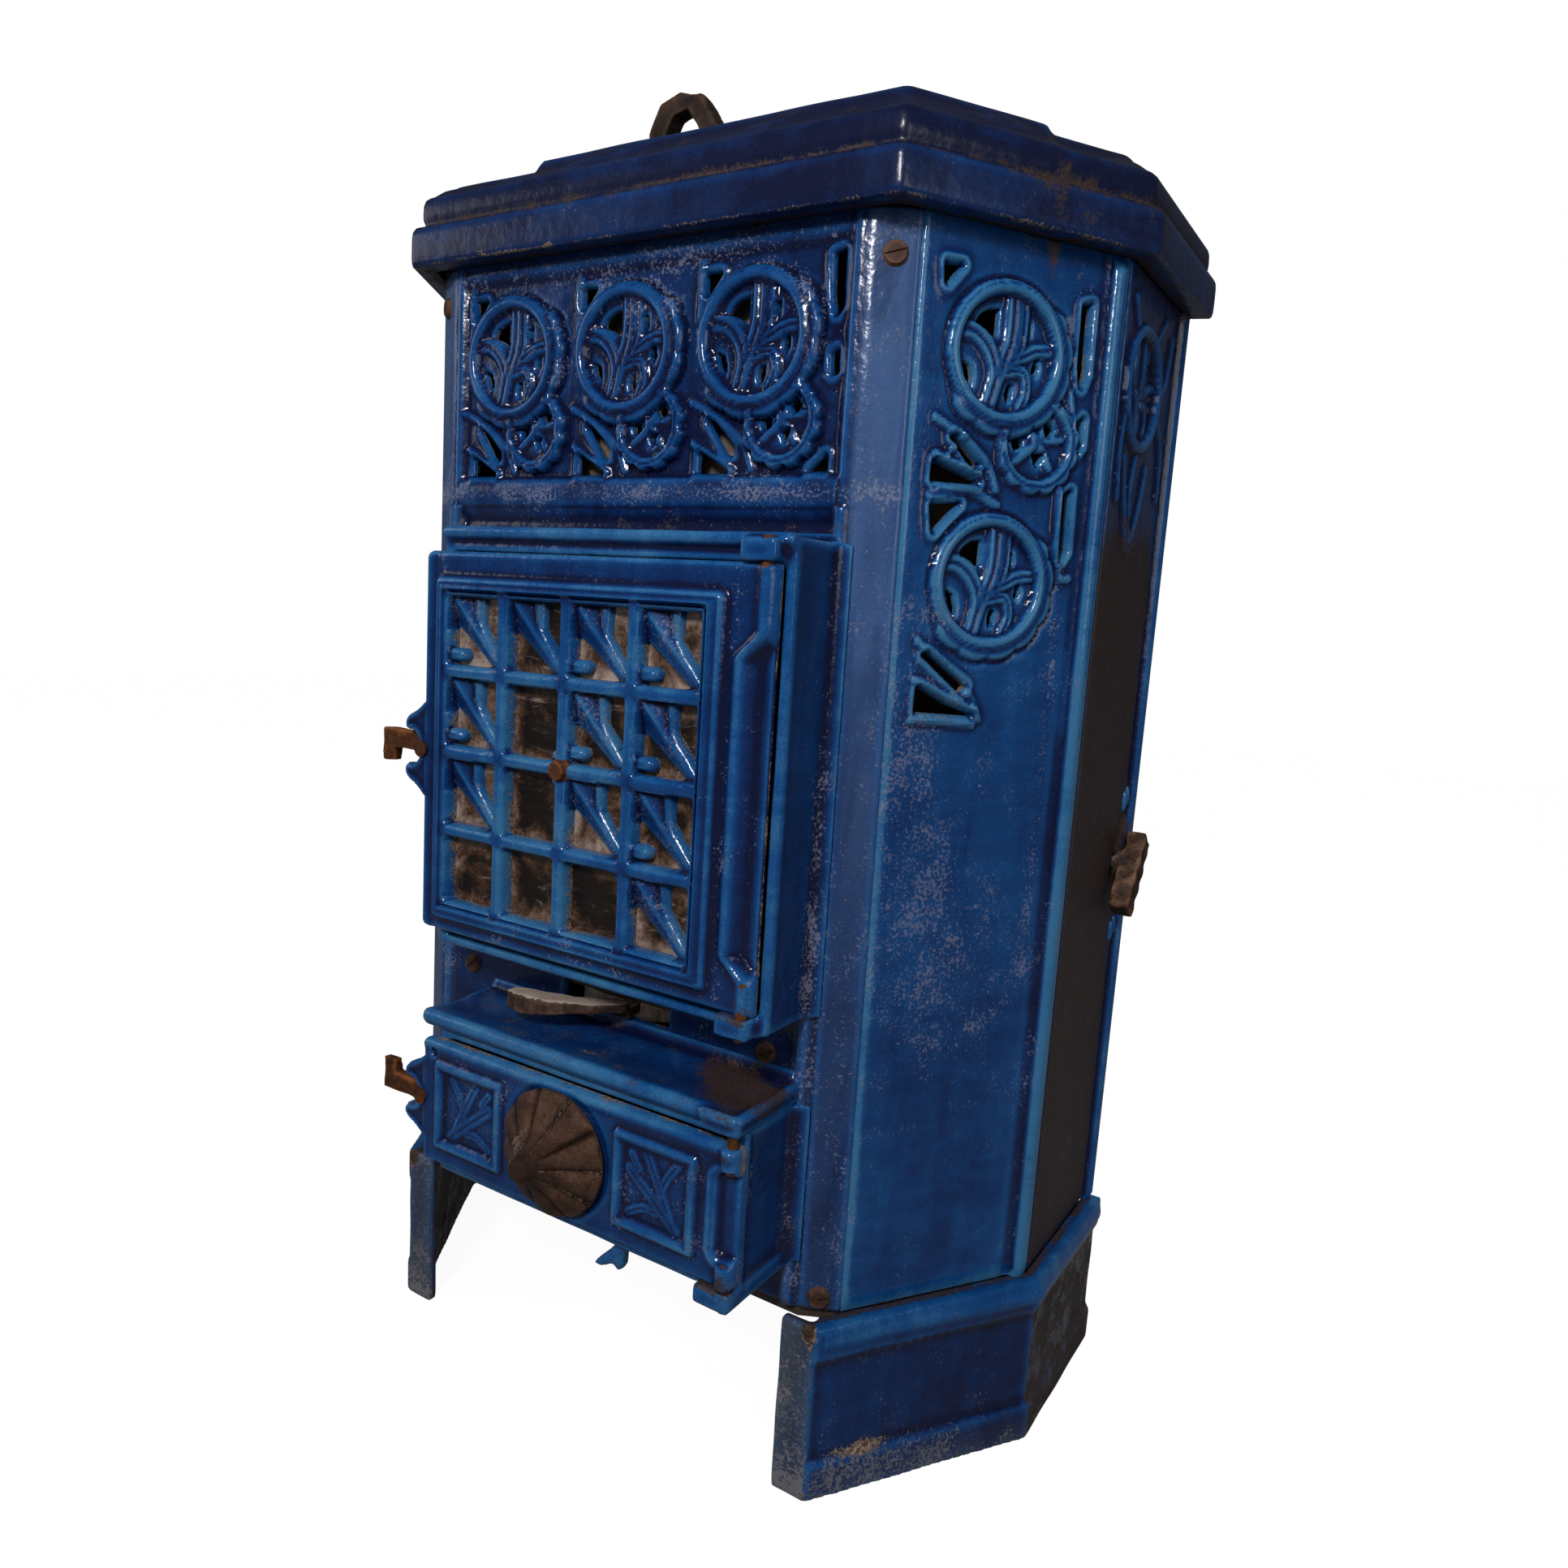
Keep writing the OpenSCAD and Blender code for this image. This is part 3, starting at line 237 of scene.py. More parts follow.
def castPlate(name, us, vs, height, metal, place, thickness, rounding=2.4, mirror=False,
              stainAndShade=None, lime=None, bloomAndReflection=None):
    # A cast plate as one closed shell: relief in front, flat back, outline and holes cut
    # along metal == 0, where metal is the distance into the iron
    u, v = np.meshgrid(us, vs, indexing="ij")
    du = np.gradient(us)[:, None] * np.ones_like(u)
    dv = np.gradient(vs)[None, :] * np.ones_like(u)
    d = metal(u, v)
    gu, gv = np.gradient(d, us, vs)
    size = np.maximum(gu * gu + gv * gv, 0.3)
    snapped = np.abs(d) <= plateCut["snap"] * np.maximum(du * np.abs(gu), dv * np.abs(gv))
    for _ in range(2):  # the second pass takes up what the first one missed
        u = np.where(snapped, u - d * gu / size, u)
        v = np.where(snapped, v - d * gv / size, v)
        d = metal(u, v)
    d = np.where(snapped, 0, d)
    kept = d >= 0
    rim = np.clip(d, 0, rounding)
    h = height(u, v) - (rounding - np.sqrt(rounding ** 2 - (rounding - rim) ** 2))
    nu, nv = u.shape
    index = np.arange(nu * nv).reshape(nu, nv)
    corners = np.stack([index[:-1, :-1], index[1:, :-1], index[1:, 1:], index[:-1, 1:]], -1).reshape(-1, 4)
    keptFlat, snapFlat = kept.ravel(), snapped.ravel()
    uFlat, vFlat = u.ravel(), v.ravel()
    inside = keptFlat[corners]
    count = inside.sum(1)
    quads = corners[count == 4]
    onRim = snapFlat[quads].sum(1) >= 3
    middle = metal(uFlat[quads].mean(1), vFlat[quads].mean(1))
    quads = quads[~(onRim & (middle < plateCut["sliver"]))]
    three = corners[count == 3]
    drop = np.argmin(keptFlat[three], axis=1)
    triangles = np.array([np.delete(q, k) for q, k in zip(three, drop)]).reshape(-1, 3)
    if len(triangles):
        middle = metal(uFlat[triangles].mean(1), vFlat[triangles].mean(1))
        triangles = triangles[middle > plateCut["sliver"]]
    edges = np.concatenate([quads[:, [k, (k + 1) % 4]] for k in range(4)]
                           + [triangles[:, [k, (k + 1) % 3]] for k in range(3)])
    total = nu * nv
    code = edges[:, 0].astype(np.int64) * total + edges[:, 1]
    back = edges[:, 1].astype(np.int64) * total + edges[:, 0]
    rims = edges[~np.isin(code, back)]
    used = np.unique(np.concatenate([quads.ravel(), triangles.ravel()]))
    lookup = np.full(total, -1)
    lookup[used] = np.arange(len(used))
    front = place(uFlat[used], vFlat[used], h.ravel()[used])
    rear = place(uFlat[used], vFlat[used], np.full(len(used), -thickness))
    n = len(used)
    q, t, r = lookup[quads], lookup[triangles], lookup[rims]
    wall = np.stack([r[:, 1], r[:, 0], r[:, 0] + n, r[:, 1] + n], -1)
    faces = [q, t, (q + n)[:, ::-1], (t + n)[:, ::-1], wall]
    points = np.concatenate([front, rear])
    if mirror:
        points[:, 0] *= -1
        faces = [f[:, ::-1] for f in faces]
    piece = meshPiece(name, toPart(points), [f for group in faces for f in group.tolist()])
    rimValue = np.clip(1 - d.ravel()[used] / plateCut["rimWear"], 0, 1)
    setValue(piece, "bare", np.concatenate([rimValue * plateCut["rimBare"], rimValue]))
    for key, rule in (("stainAndShade", stainAndShade), ("lime", lime), ("bloomAndReflection", bloomAndReflection)):
        if rule is not None:
            value = rule(uFlat[used], vFlat[used], h.ravel()[used])
            setValue(piece, key, np.concatenate([value, value]))
    addWear(piece)
    return piece


# Materials
def newNode(tree, kind, inputs=None, **settings):
    made = tree.nodes.new(kind)
    for key, value in settings.items():
        setattr(made, key, value)
    for key, value in (inputs or {}).items():
        socket = made.inputs[key]
        if isinstance(value, bpy.types.NodeSocket):
            tree.links.new(value, socket)
        else:
            socket.default_value = value
    return made


def calc(tree, operation, a, b=0.0, *more, clamp=False):
    inputs = dict(enumerate((a, b, *more)))
    return newNode(tree, "ShaderNodeMath", inputs, operation=operation, use_clamp=clamp).outputs[0]


def add(tree, total, *others, clamp=False):
    for other in others:
        total = calc(tree, "ADD", total, other, clamp=clamp)
    return total


def times(tree, total, *others):
    for other in others:
        total = calc(tree, "MULTIPLY", total, other)
    return total


def blendColour(tree, factor, a, b):  # either may be a plain colour
    a, b = ((*colour, 1) if isinstance(colour, tuple) else colour for colour in (a, b))
    inputs = {0: factor, 6: a, 7: b}
    return newNode(tree, "ShaderNodeMix", inputs, data_type="RGBA", clamp_factor=True).outputs[2]


def between(tree, value, low, high, toLow=0.0, toHigh=1.0):  # eased from one range to another
    inputs = {0: value, 1: low, 2: high, 3: toLow, 4: toHigh}
    return newNode(tree, "ShaderNodeMapRange", inputs, interpolation_type="SMOOTHSTEP").outputs[0]


def noise(tree, where, scale, detail=3.0, roughness=0.55, distortion=0.0):
    inputs = {"Vector": where, "Scale": scale, "Detail": detail, "Roughness": roughness,
              "Distortion": distortion}
    return newNode(tree, "ShaderNodeTexNoise", inputs).outputs[0]


def placed(tree, where, **change):  # moves, turns or stretches a pattern
    return newNode(tree, "ShaderNodeMapping", {"Vector": where, **change}).outputs[0]


def readValue(tree, name):
    return newNode(tree, "ShaderNodeAttribute", attribute_name=name).outputs["Fac"]


def splitOf(tree, vector):
    return newNode(tree, "ShaderNodeSeparateXYZ", {0: vector}).outputs


def colourSteps(tree, value, stops):
    ramp = newNode(tree, "ShaderNodeValToRGB", {0: value})
    elements = ramp.color_ramp.elements
    while len(elements) < len(stops):
        elements.new(0.5)
    for element, (place, colour) in zip(elements, stops):
        element.position = place
        element.color = (*colour, 1)
    return ramp.outputs[0]


def newMaterial(name):
    material = bpy.data.materials.new(name)
    material.use_nodes = True
    tree = material.node_tree
    tree.nodes.clear()
    surface = newNode(tree, "ShaderNodeBsdfPrincipled")
    output = newNode(tree, "ShaderNodeOutputMaterial")
    tree.links.new(surface.outputs[0], output.inputs[0])
    where = newNode(tree, "ShaderNodeTexCoord").outputs["Object"]
    return material, tree, surface, where


def connect(tree, surface, colour, roughness, bumps):
    # bumps: (height, distance in metres) from coarse to fine
    tree.links.new(colour, surface.inputs["Base Color"])
    tree.links.new(roughness, surface.inputs["Roughness"])
    last = {}
    for height, distance in bumps:
        inputs = {"Height": height, "Distance": distance, "Strength": 1.0, **last}
        last = {"Normal": newNode(tree, "ShaderNodeBump", inputs).outputs[0]}
    tree.links.new(last["Normal"], surface.inputs["Normal"])


enamel = {
    "recess": (0.003, 0.006, 0.032),     # glaze lying thick: navy with some violet
    "flat": (0.0028, 0.023, 0.103),
    "thin": (0.005, 0.060, 0.205),       # glaze thin on the ridges
    "worn": (0.032, 0.140, 0.290),
    "lime": (0.155, 0.170, 0.270),
    # The film colour: a thin lavender bloom, which on the corner facets is partly a painted reflection
    "filmAndReflection": (0.048, 0.100, 0.235),       # thin lavender bloom
    "tan": (0.240, 0.180, 0.130),
    "rust": (0.052, 0.025, 0.014),
    "soot": (0.020, 0.012, 0.009),
    "pin": (0.004, 0.005, 0.014),
    "steps": ((0.10, "recess"), (0.42, "flat"), (0.74, "thin"), (1.00, "worn")),
    "roughness": 0.13,
    "relief": (("waves", 0.0005), ("drips", 0.00025), ("fleck", 0.00012), ("grit", 0.00008)),   # metres
    "patterns": {      # scale, detail, roughness and distortion of each noise
        "cloud": (9, 4, 0.6), "patch": (42, 4, 0.6, 0.4), "grit": (620, 2, 0.6),
        "pits": (900, 1, 0.5), "flecks": (470, 4, 0.75), "waves": (110, 2, 0.5),
    },
    "streaks": {       # stretch, turn, roughness and distortion
        "drips": ((46, 46, 7), (0.13, 0.09, 0.4), 0.55, 0.9),
        "brushed": ((14, 14, 60), (0.2, math.radians(24), 0.3), 0.6, 1.2),
    },
    "tone": {          # each noise's range and how far it moves the tone
        "cloud": (0.25, 0.75, -0.13, 0.12), "patch": (0.25, 0.75, -0.05, 0.04),
        "drips": (0.3, 0.7, -0.06, 0.06), "brushed": (0.3, 0.7, -0.05, 0.05), "grit": (0.3, 0.7, -0.05, 0.05),
    },
}


def enamelMaterial(name, light=0.0, limeLevel=0.0, shift=0.0, filmAndReflection=enamel["filmAndReflection"], dull=0.0,
                   lime=enamel["lime"]):
    # light moves the whole tone, as painted light and shade for how brightly each face is lit; limeLevel adds
    # scale all over, shift moves the patterns, the film colour is the bloom's colour, partly a painted
    # reflection on the facets, and dull adds roughness
    material, tree, surface, where = newMaterial(name)
    moved = placed(tree, where, Location=(shift, shift * 0.7, 0))
    found = {key: noise(tree, moved, *values) for key, values in enamel["patterns"].items()}
    for key, (stretch, turned, *grain) in enamel["streaks"].items():
        found[key] = noise(tree, placed(tree, moved, Scale=stretch, Rotation=turned), 1, 3, *grain)

    def part(key, *limits):
        return between(tree, found[key], *limits)

    # Tone: thick glaze in the hollows, thin on the ridges, and moved by the face's painted light and shade
    tone = add(tree, calc(tree, "MULTIPLY_ADD", readValue(tree, "edge"), 0.43, 0.40 + light),
               *(part(key, *limits) for key, limits in enamel["tone"].items()))
    colour = colourSteps(tree, tone, [(place, enamel[key]) for place, key in enamel["steps"]])
    # Bloom: a lavender film, which on the corner facets is partly a painted reflection, stronger towards the
    # top
    bloomAndReflection = times(tree, readValue(tree, "bloomAndReflection"), part("drips", 0.28, 0.72, 0.38, 1.05))
    colour = blendColour(tree, bloomAndReflection, colour, filmAndReflection)
    # Limescale: pale flecks that gather in patches
    gather = add(tree, part("patch", 0.40, 0.78), part("cloud", 0.45, 0.80, -0.4, 0.3),
                 add(tree, readValue(tree, "lime"), limeLevel))
    fleck = between(tree, add(tree, found["flecks"], times(tree, gather, 0.5, 0.30)), 0.66, 0.74)
    colour = blendColour(tree, times(tree, fleck, 0.70), colour, lime)
    # Pin holes, chipped rims, and rust and soot by the stain attribute, which also carries painted shade and
    # dark reflection
    colour = blendColour(tree, times(tree, part("pits", 0.70, 0.76), 0.6), colour, enamel["pin"])
    bare = between(tree, add(tree, readValue(tree, "bare"), part("patch", 0.2, 0.8, -0.55, 0.15),
                             part("grit", 0.3, 0.7, -0.2, 0.2)), 0.55, 0.85)
    colour = blendColour(tree, bare, colour,
                         blendColour(tree, part("flecks", 0.4, 0.6), enamel["tan"], enamel["rust"]))
    rust = between(tree, add(tree, readValue(tree, "stainAndShade"), part("patch", 0.25, 0.75, -0.45, 0.25),
                             part("flecks", 0.3, 0.7, -0.25, 0.25)), 0.30, 0.70)
    colour = blendColour(tree, times(tree, rust, 0.9), colour,
                         blendColour(tree, part("grit", 0.35, 0.65), enamel["rust"], enamel["soot"]))
    rough = calc(tree, "MULTIPLY_ADD", fleck, 0.42, enamel["roughness"] + dull)
    rough = add(tree, rough, times(tree, bare, 0.45), times(tree, rust, 0.40))
    rough = add(tree, rough, part("cloud", 0.3, 0.7, 0.0, 0.08), clamp=True)
    surface.inputs["IOR"].default_value = 1.5
    surface.inputs["Specular IOR Level"].default_value = 0.42
    found["fleck"] = fleck
    connect(tree, surface, colour, rough, [(found[key], depth) for key, depth in enamel["relief"]])
    return material


ironTones = {
    "latch": ((0.020, 0.006, 0.001), (0.078, 0.021, 0.003), (0.21, 0.066, 0.014)),
    "brown": ((0.006, 0.003, 0.0015), (0.018, 0.008, 0.004), (0.066, 0.032, 0.016)),
    "dusty": ((0.060, 0.032, 0.020), (0.230, 0.160, 0.120), (0.36, 0.270, 0.215)),
    "rosette": ((0.014, 0.005, 0.002), (0.050, 0.022, 0.012), (0.13, 0.066, 0.042)),
    "screw": ((0.020, 0.009, 0.005), (0.052, 0.023, 0.014), (0.13, 0.062, 0.042)),
    "lever": ((0.010, 0.005, 0.003), (0.032, 0.015, 0.009), (0.10, 0.052, 0.034)),
    "key": ((0.010, 0.004, 0.001), (0.048, 0.019, 0.007), (0.17, 0.090, 0.052)),
    # The shield's tones are raised: it is dusty, and the lift is also painted light, for it sits in the front
    # plate's shadow
    "shield": ((0.120, 0.080, 0.062), (0.340, 0.255, 0.205), (0.48, 0.385, 0.320)),
    # The inner iron is ash-dusty, and its raised tones are also painted light, so the hollows seen through
    # the openings are not black
    "inner": ((0.055, 0.040, 0.032), (0.140, 0.108, 0.090), (0.25, 0.205, 0.175)),
    "grey": ((0.020, 0.018, 0.018), (0.055, 0.050, 0.048), (0.11, 0.095, 0.085)),
}
dustTones = {"rust": (0.075, 0.035, 0.016), "top": (0.36, 0.29, 0.24), "hollow": (0.30, 0.215, 0.170)}


def ironMaterial(name, tones, grain=260.0, metallic=0.0, pitDepth=0.0006, dustOnTop=0.0, blotch=0.0,
                 gloss=0.50):
    # grain is the pattern's fineness, blotch the strength of the rust patches
    material, tree, surface, where = newMaterial(name)
    cloud = noise(tree, where, 55, 4, 0.6)
    grains = noise(tree, where, grain, 4, 0.7)
    fine = noise(tree, where, grain * 4, 2, 0.6)
    tone = add(tree, times(tree, cloud, 0.55), times(tree, grains, 0.45),
               times(tree, readValue(tree, "edge"), 0.14))
    colour = colourSteps(tree, tone, list(zip((0.36, 0.54, 0.72), tones)))
    if blotch:
        broad = noise(tree, placed(tree, where, Scale=(16, 16, 6)), 1, 4, 0.65, 0.5)
        spread = between(tree, add(tree, broad, times(tree, grains, 0.25)), 0.60, 0.78)
        colour = blendColour(tree, times(tree, spread, blotch), colour, dustTones["rust"])
    if dustOnTop:
        up = splitOf(tree, newNode(tree, "ShaderNodeNewGeometry").outputs["Normal"])[2]
        settled = between(tree, add(tree, up, between(tree, grains, 0.3, 0.7, -0.35, 0.25)), 0.35, 0.75)
        colour = blendColour(tree, times(tree, settled, dustOnTop), colour, dustTones["top"])
    if dustOnTop or gloss < 0.5:  # dust that lies in the hollows, by the piece's own attribute
        lying = add(tree, readValue(tree, "dust"), between(tree, grains, 0.3, 0.7, -0.35, 0.25))
        colour = blendColour(tree, between(tree, lying, 0.35, 0.75, 0.0, 0.85), colour, dustTones["hollow"])
    surface.inputs["Metallic"].default_value = metallic
    surface.inputs["Specular IOR Level"].default_value = 0.3
    rough = between(tree, grains, 0.3, 0.7, gloss, gloss + 0.38)
    connect(tree, surface, colour, rough, [(cloud, 0.0009), (grains, pitDepth), (fine, 0.00012)])
    return material


# One glaze in a copy for each face, whose light value paints how brightly that face is lit: the canted panels
# lighter, the lid darker
blue = enamelMaterial("enamelFront", -0.11, 0.08, 0.0)
blueLitCanted = enamelMaterial("enamelCanted", 0.19, 0.05, 0.31)
blueDoor = enamelMaterial("enamelDoor", 0.02, 0.0, 0.63)
blueShadedSide = enamelMaterial("enamelSide", -0.08, -0.20, 0.17)
blueLid = enamelMaterial("enamelLid", -0.28, -0.15, 0.45, dull=0.12)
bluePlinth = enamelMaterial("enamelPlinth", -0.08, 0.0, 0.52, (0.050, 0.062, 0.078),
                            lime=(0.190, 0.180, 0.185))
latchIron = ironMaterial("rustyLatch", ironTones["latch"])
brownIron = ironMaterial("brownIron", ironTones["brown"])
rosetteIron = ironMaterial("rosetteIron", ironTones["rosette"], 620, 0.25, pitDepth=0.0011, gloss=0.24)
screwIron = ironMaterial("screwIron", ironTones["screw"])
dustyIron = ironMaterial("dustyIron", ironTones["dusty"], dustOnTop=0.85)
leverIron = ironMaterial("leverIron", ironTones["lever"], dustOnTop=0.90)
keyIron = ironMaterial("keyIron", ironTones["key"], 200, pitDepth=0.0011, dustOnTop=0.06)
shieldIron = ironMaterial("shieldIron", ironTones["shield"], dustOnTop=0.60)
innerIron = ironMaterial("innerIron", ironTones["inner"], dustOnTop=0.50)
greyIron = ironMaterial("rawCasting", ironTones["grey"], 180, pitDepth=0.0008, dustOnTop=0.35, blotch=0.75)
print("materials made")

# Floor, background and light
studio = {
    "floorGrey": 0.10,
    "floorGlow": 0.95,      # what the floor shows by itself to the camera
    "ambient": 0.45,
    "shine": 0.06,          # how bright the surroundings look in the glaze
    "floorHalf": 6.0,
    "lamps": {              # place, target's height, width and power
        "key": ((0.35, -1.35, 1.25), 0.42, 0.28, 15.0),
        "side": ((1.5, -0.7, 0.9), 0.4, 0.8, 3.0),
        "left": ((-1.6, -0.9, 1.1), 0.4, 0.9, 3.0),
        "back": ((-0.8, 1.7, 1.2), 0.4, 0.9, 12.0),
    },
}
white = (1, 1, 1, 1)


def backgroundSeen(tree, others=0.0):  # 1 for the camera and through glass, less for reflections
    rays = newNode(tree, "ShaderNodeLightPath")
    seen = calc(tree, "MAXIMUM", rays.outputs["Is Camera Ray"], rays.outputs["Is Transmission Ray"])
    return add(tree, seen, times(tree, rays.outputs["Is Glossy Ray"], studio["shine"]),
               times(tree, rays.outputs["Is Diffuse Ray"], others))


world = bpy.data.worlds.new("studio")
bpy.context.scene.world = world
world.use_nodes = True
sky = world.node_tree
sky.nodes.clear()
strength = backgroundSeen(sky, studio["ambient"])
background = newNode(sky, "ShaderNodeBackground", {"Color": white, "Strength": strength})
skyOut = newNode(sky, "ShaderNodeOutputWorld")
sky.links.new(background.outputs[0], skyOut.inputs[0])

floorMesh = bpy.data.meshes.new("floor")
half = studio["floorHalf"]
corners = [(-half, -half, 0), (half, -half, 0), (half, half, 0), (-half, half, 0)]
floorMesh.from_pydata(corners, [], [(0, 1, 2, 3)])
floor = newObject("floor", floorMesh)
floorMaterial, floorTree, floorSurface, _ = newMaterial("floor")
floorTree.nodes.remove(floorSurface)
paint = newNode(floorTree, "ShaderNodeBsdfDiffuse", {"Color": (studio["floorGrey"],) * 3 + (1,)})
glowing = times(floorTree, backgroundSeen(floorTree), studio["floorGlow"])
glow = newNode(floorTree, "ShaderNodeEmission", {"Color": white, "Strength": glowing})
both = newNode(floorTree, "ShaderNodeAddShader", {0: paint.outputs[0], 1: glow.outputs[0]})
floorOut = next(n for n in floorTree.nodes if n.type == "OUTPUT_MATERIAL")
floorTree.links.new(both.outputs[0], floorOut.inputs[0])
floorMesh.materials.append(floorMaterial)


for name, (place, targetZ, size, power) in studio["lamps"].items():
    data = bpy.data.lights.new(name, "AREA")
    data.shape = "DISK"
    data.size = size
    data.energy = power
    lamp = newObject(name, data)
    lamp.location = place
    lamp.rotation_mode = "QUATERNION"
    lamp.rotation_quaternion = (Vector((0, 0, targetZ)) - Vector(place)).to_track_quat("-Z", "Y")
bpy.context.scene.view_settings.view_transform = "Standard"
print("stage set")




# Pierced ornament, in millimetres from a ring's own middle
motif = {
    "inner": 31.5,
    "outer": 40.5,
    "rimHeight": 4.4,
    "floor": -1.6,
    "skirt": 5.6,
    "smallInner": 19.0,
    "smallOuter": 25.5,
    "smallRimHeight": 3.6,
    "petals": 13,
}
ringHoles = [
    [(-5.5, 7.5), (-13, 12.5), (-20.5, 15), (-17.5, 20), (-12, 23.5), (-5.5, 24.5)],
    [(-27.5, -5.5), (-21.5, -8.5), (-20, -14), (-20.5, -21), (-25, -14)],
    [(13.5, 19.5), (16, 20), (16.5, 12), (14.8, 10)],
    [(20.8, 0), (23, 0.5), (23.8, -5), (21.8, -10), (20, -7)],
    [(4.5, -15), (7.5, -15.5), (7.2, -24), (4.2, -26), (2.8, -21)],
]
smallHoles = [
    [(-13, 0.5), (-9, 4), (-8.5, -2.5), (-12, -4)],
    [(7, 12), (11.5, 8.5), (9, 4.5), (6, 7.5)],
    [(0.5, -6), (6, -5), (2.5, -11)],
]
stems = [
    (smoothCurve([(-10, -32), (-6, -16), (-1, -4), (3, 10), (3, 32)]), 4.2),
    (smoothCurve([(-32, 10), (-21, 9), (-11, 1), (-6, -12), (-10, -32)]), 4.0),
    (smoothCurve([(-2, -8), (6, -1), (10, 10), (10, 30)]), 3.0),
    (smoothCurve([(4, -3), (13, 1), (20, 4.5), (31, 6)]), 3.2),
    (smoothCurve([(0, -10), (12, -8), (16, -18), (12, -29)]), 2.8),
]
smallStems = [
    (smoothCurve([(-18, 8), (-6, 6), (2, 0), (10, -12)]), 2.6),
    (smoothCurve([(-14, -12), (-4, -4), (4, 6), (3, 18)]), 2.4),
    (smoothCurve([(-2, 2), (8, 2), (18, 4)]), 2.2),
]


def smallRing(a, b, h, hole):
    r, angle = np.hypot(a, b), np.arctan2(b, a)
    low = stepUp(np.cos(angle + math.radians(62)), -0.35, 0.1)
    outer = motif["smallOuter"] + 2.6 * low * np.abs(np.sin(angle * motif["petals"] / 2))
    inner = motif["smallInner"]
    base = motif["floor"] * 0.8
    floor = np.full(r.shape, base)
    for path, half in smallStems:
        floor = np.maximum(floor, base + bead(lineDistance(a, b, path), half, 2.0))
    t = np.clip((r - inner) / (outer - inner), 0, 1)
    rim = motif["smallRimHeight"] * (1 - (2 * t - 1) ** 4) - 0.8 * hill(r - inner - 4, 0.9)
    h = np.where(r < inner, floor, np.where(r < outer, np.maximum(h, rim), h))
    cut = np.maximum.reduce([shapeDistance(a, b, s) + 0.8 for s in smallHoles])
    return h, np.where(r < outer, np.minimum(cut, inner - r), hole)


def bigRing(a, b, h, hole):  # a rim with petals round its lower side, and stems within
    r, angle = np.hypot(a, b), np.arctan2(b, a)
    low = stepUp(np.cos(angle + math.radians(52)), -0.25, 0.15)
    wave = np.abs(np.sin(angle * motif["petals"] / 2 + 0.5)) ** 0.6
    skirt = motif["outer"] + motif["skirt"] * low * (0.62 + 0.38 * wave)
    outer, inner = motif["outer"], motif["inner"]
    floor = np.full(r.shape, motif["floor"])
    for path, half in stems:
        d = lineDistance(a, b, path)
        raised = motif["floor"] + 2.6 * np.clip((half * 1.35 - d) / 2.2, 0, 1) ** 0.5 - 1.0 * hill(d, 0.9)
        floor = np.maximum(floor, raised)
    t = np.clip((r - inner) / (outer - inner), 0, 1)
    rim = motif["rimHeight"] * (1 - np.abs(2 * t - 1) ** 3.2) ** 0.8 - 0.8 * hill(r - inner - 6.2, 0.8)
    h = h - 0.9 * hill(r - skirt - 1.2, 1.4)
    petal = 2.9 * np.clip((skirt - r) / 2.6, 0, 1) ** 0.5 * low - 0.5 * (1 - wave) * low
    tucked = outer - 1.5      # the petals start under the rim's edge
    h = np.where((r >= tucked) & (r < skirt), np.maximum(h, petal), h)
    rim = np.maximum(rim, np.where(r > tucked, petal, -0.4))
    h = np.where(r < inner, floor, np.where(r < outer, rim, h))
    cut = np.maximum.reduce([shapeDistance(a, b, s) - 0.2 for s in ringHoles])
    return h, np.where(r < np.maximum(skirt, outer), np.minimum(cut, inner - r), hole)


def drawRing(ring, a, b, reach, h, hole, shrink=1.0):  # only near its own middle
    newH, newHole = ring(a * shrink, b * shrink, h, hole)
    near = np.hypot(a, b) < reach
    return np.where(near, newH, h), np.where(near, newHole, hole)


def ridge(a, b, path, half, height, h):
    return np.maximum(h, h + bead(lineDistance(a, b, path), half, height))


def cutOut(a, b, h, hole, shape, frameHeight=1.6):  # an opening with a soft raised frame
    d = shapeDistance(a, b, shape) + 0.8
    h = h + frameHeight * hill(d + 3.2, 1.9)
    return h, np.maximum(hole, d)


# Front plate with the pierced frieze
front = {
    "thick": 6.0,
    "foldRadius": 15.0,
    "friezeZ": 703.5,
    "ringsX": (-105.0, -8.0, 89.0),
    "smallAt": (22.0, -47.0),
    "fieldDepth": 3.2, "fieldZ": (-80.0, 47.0),      # heights in the frieze are from its rings' middle
    "bandZ": -88.0,
    "coveZ": -106.0, "coveDepth": 4.0,
    "sideBead": 2.6,
    "fine": 1.55,
}
neck = {"left": -112.0, "right": 157.3, "front": -48.0, "bottom": 308.0, "top": 588.0, "bead": 3.4}
foldAngle = math.radians(stove["facetAngle"])
foldStart = stove["frontHalf"] - front["foldRadius"] * math.tan(foldAngle / 2)
foldLength = front["foldRadius"] * foldAngle
frontEnd = foldStart + foldLength + stove["facet"] - front["foldRadius"] * math.tan(foldAngle / 2)


def onFront(u, v, h):  # round the corner folds to the facets
    side = np.sign(u)
    s = np.abs(u)
    t = np.clip((s - foldStart) / foldLength, 0, 1) * foldAngle
    rest = np.maximum(s - foldStart - foldLength, 0)
    radius = front["foldRadius"]
    x = np.minimum(s, foldStart) + radius * np.sin(t) + rest * math.cos(foldAngle)
    y = radius * (1 - np.cos(t)) + rest * math.sin(foldAngle)
    return np.stack([side * (x + h * np.sin(t)), y - h * np.cos(t), v], -1)


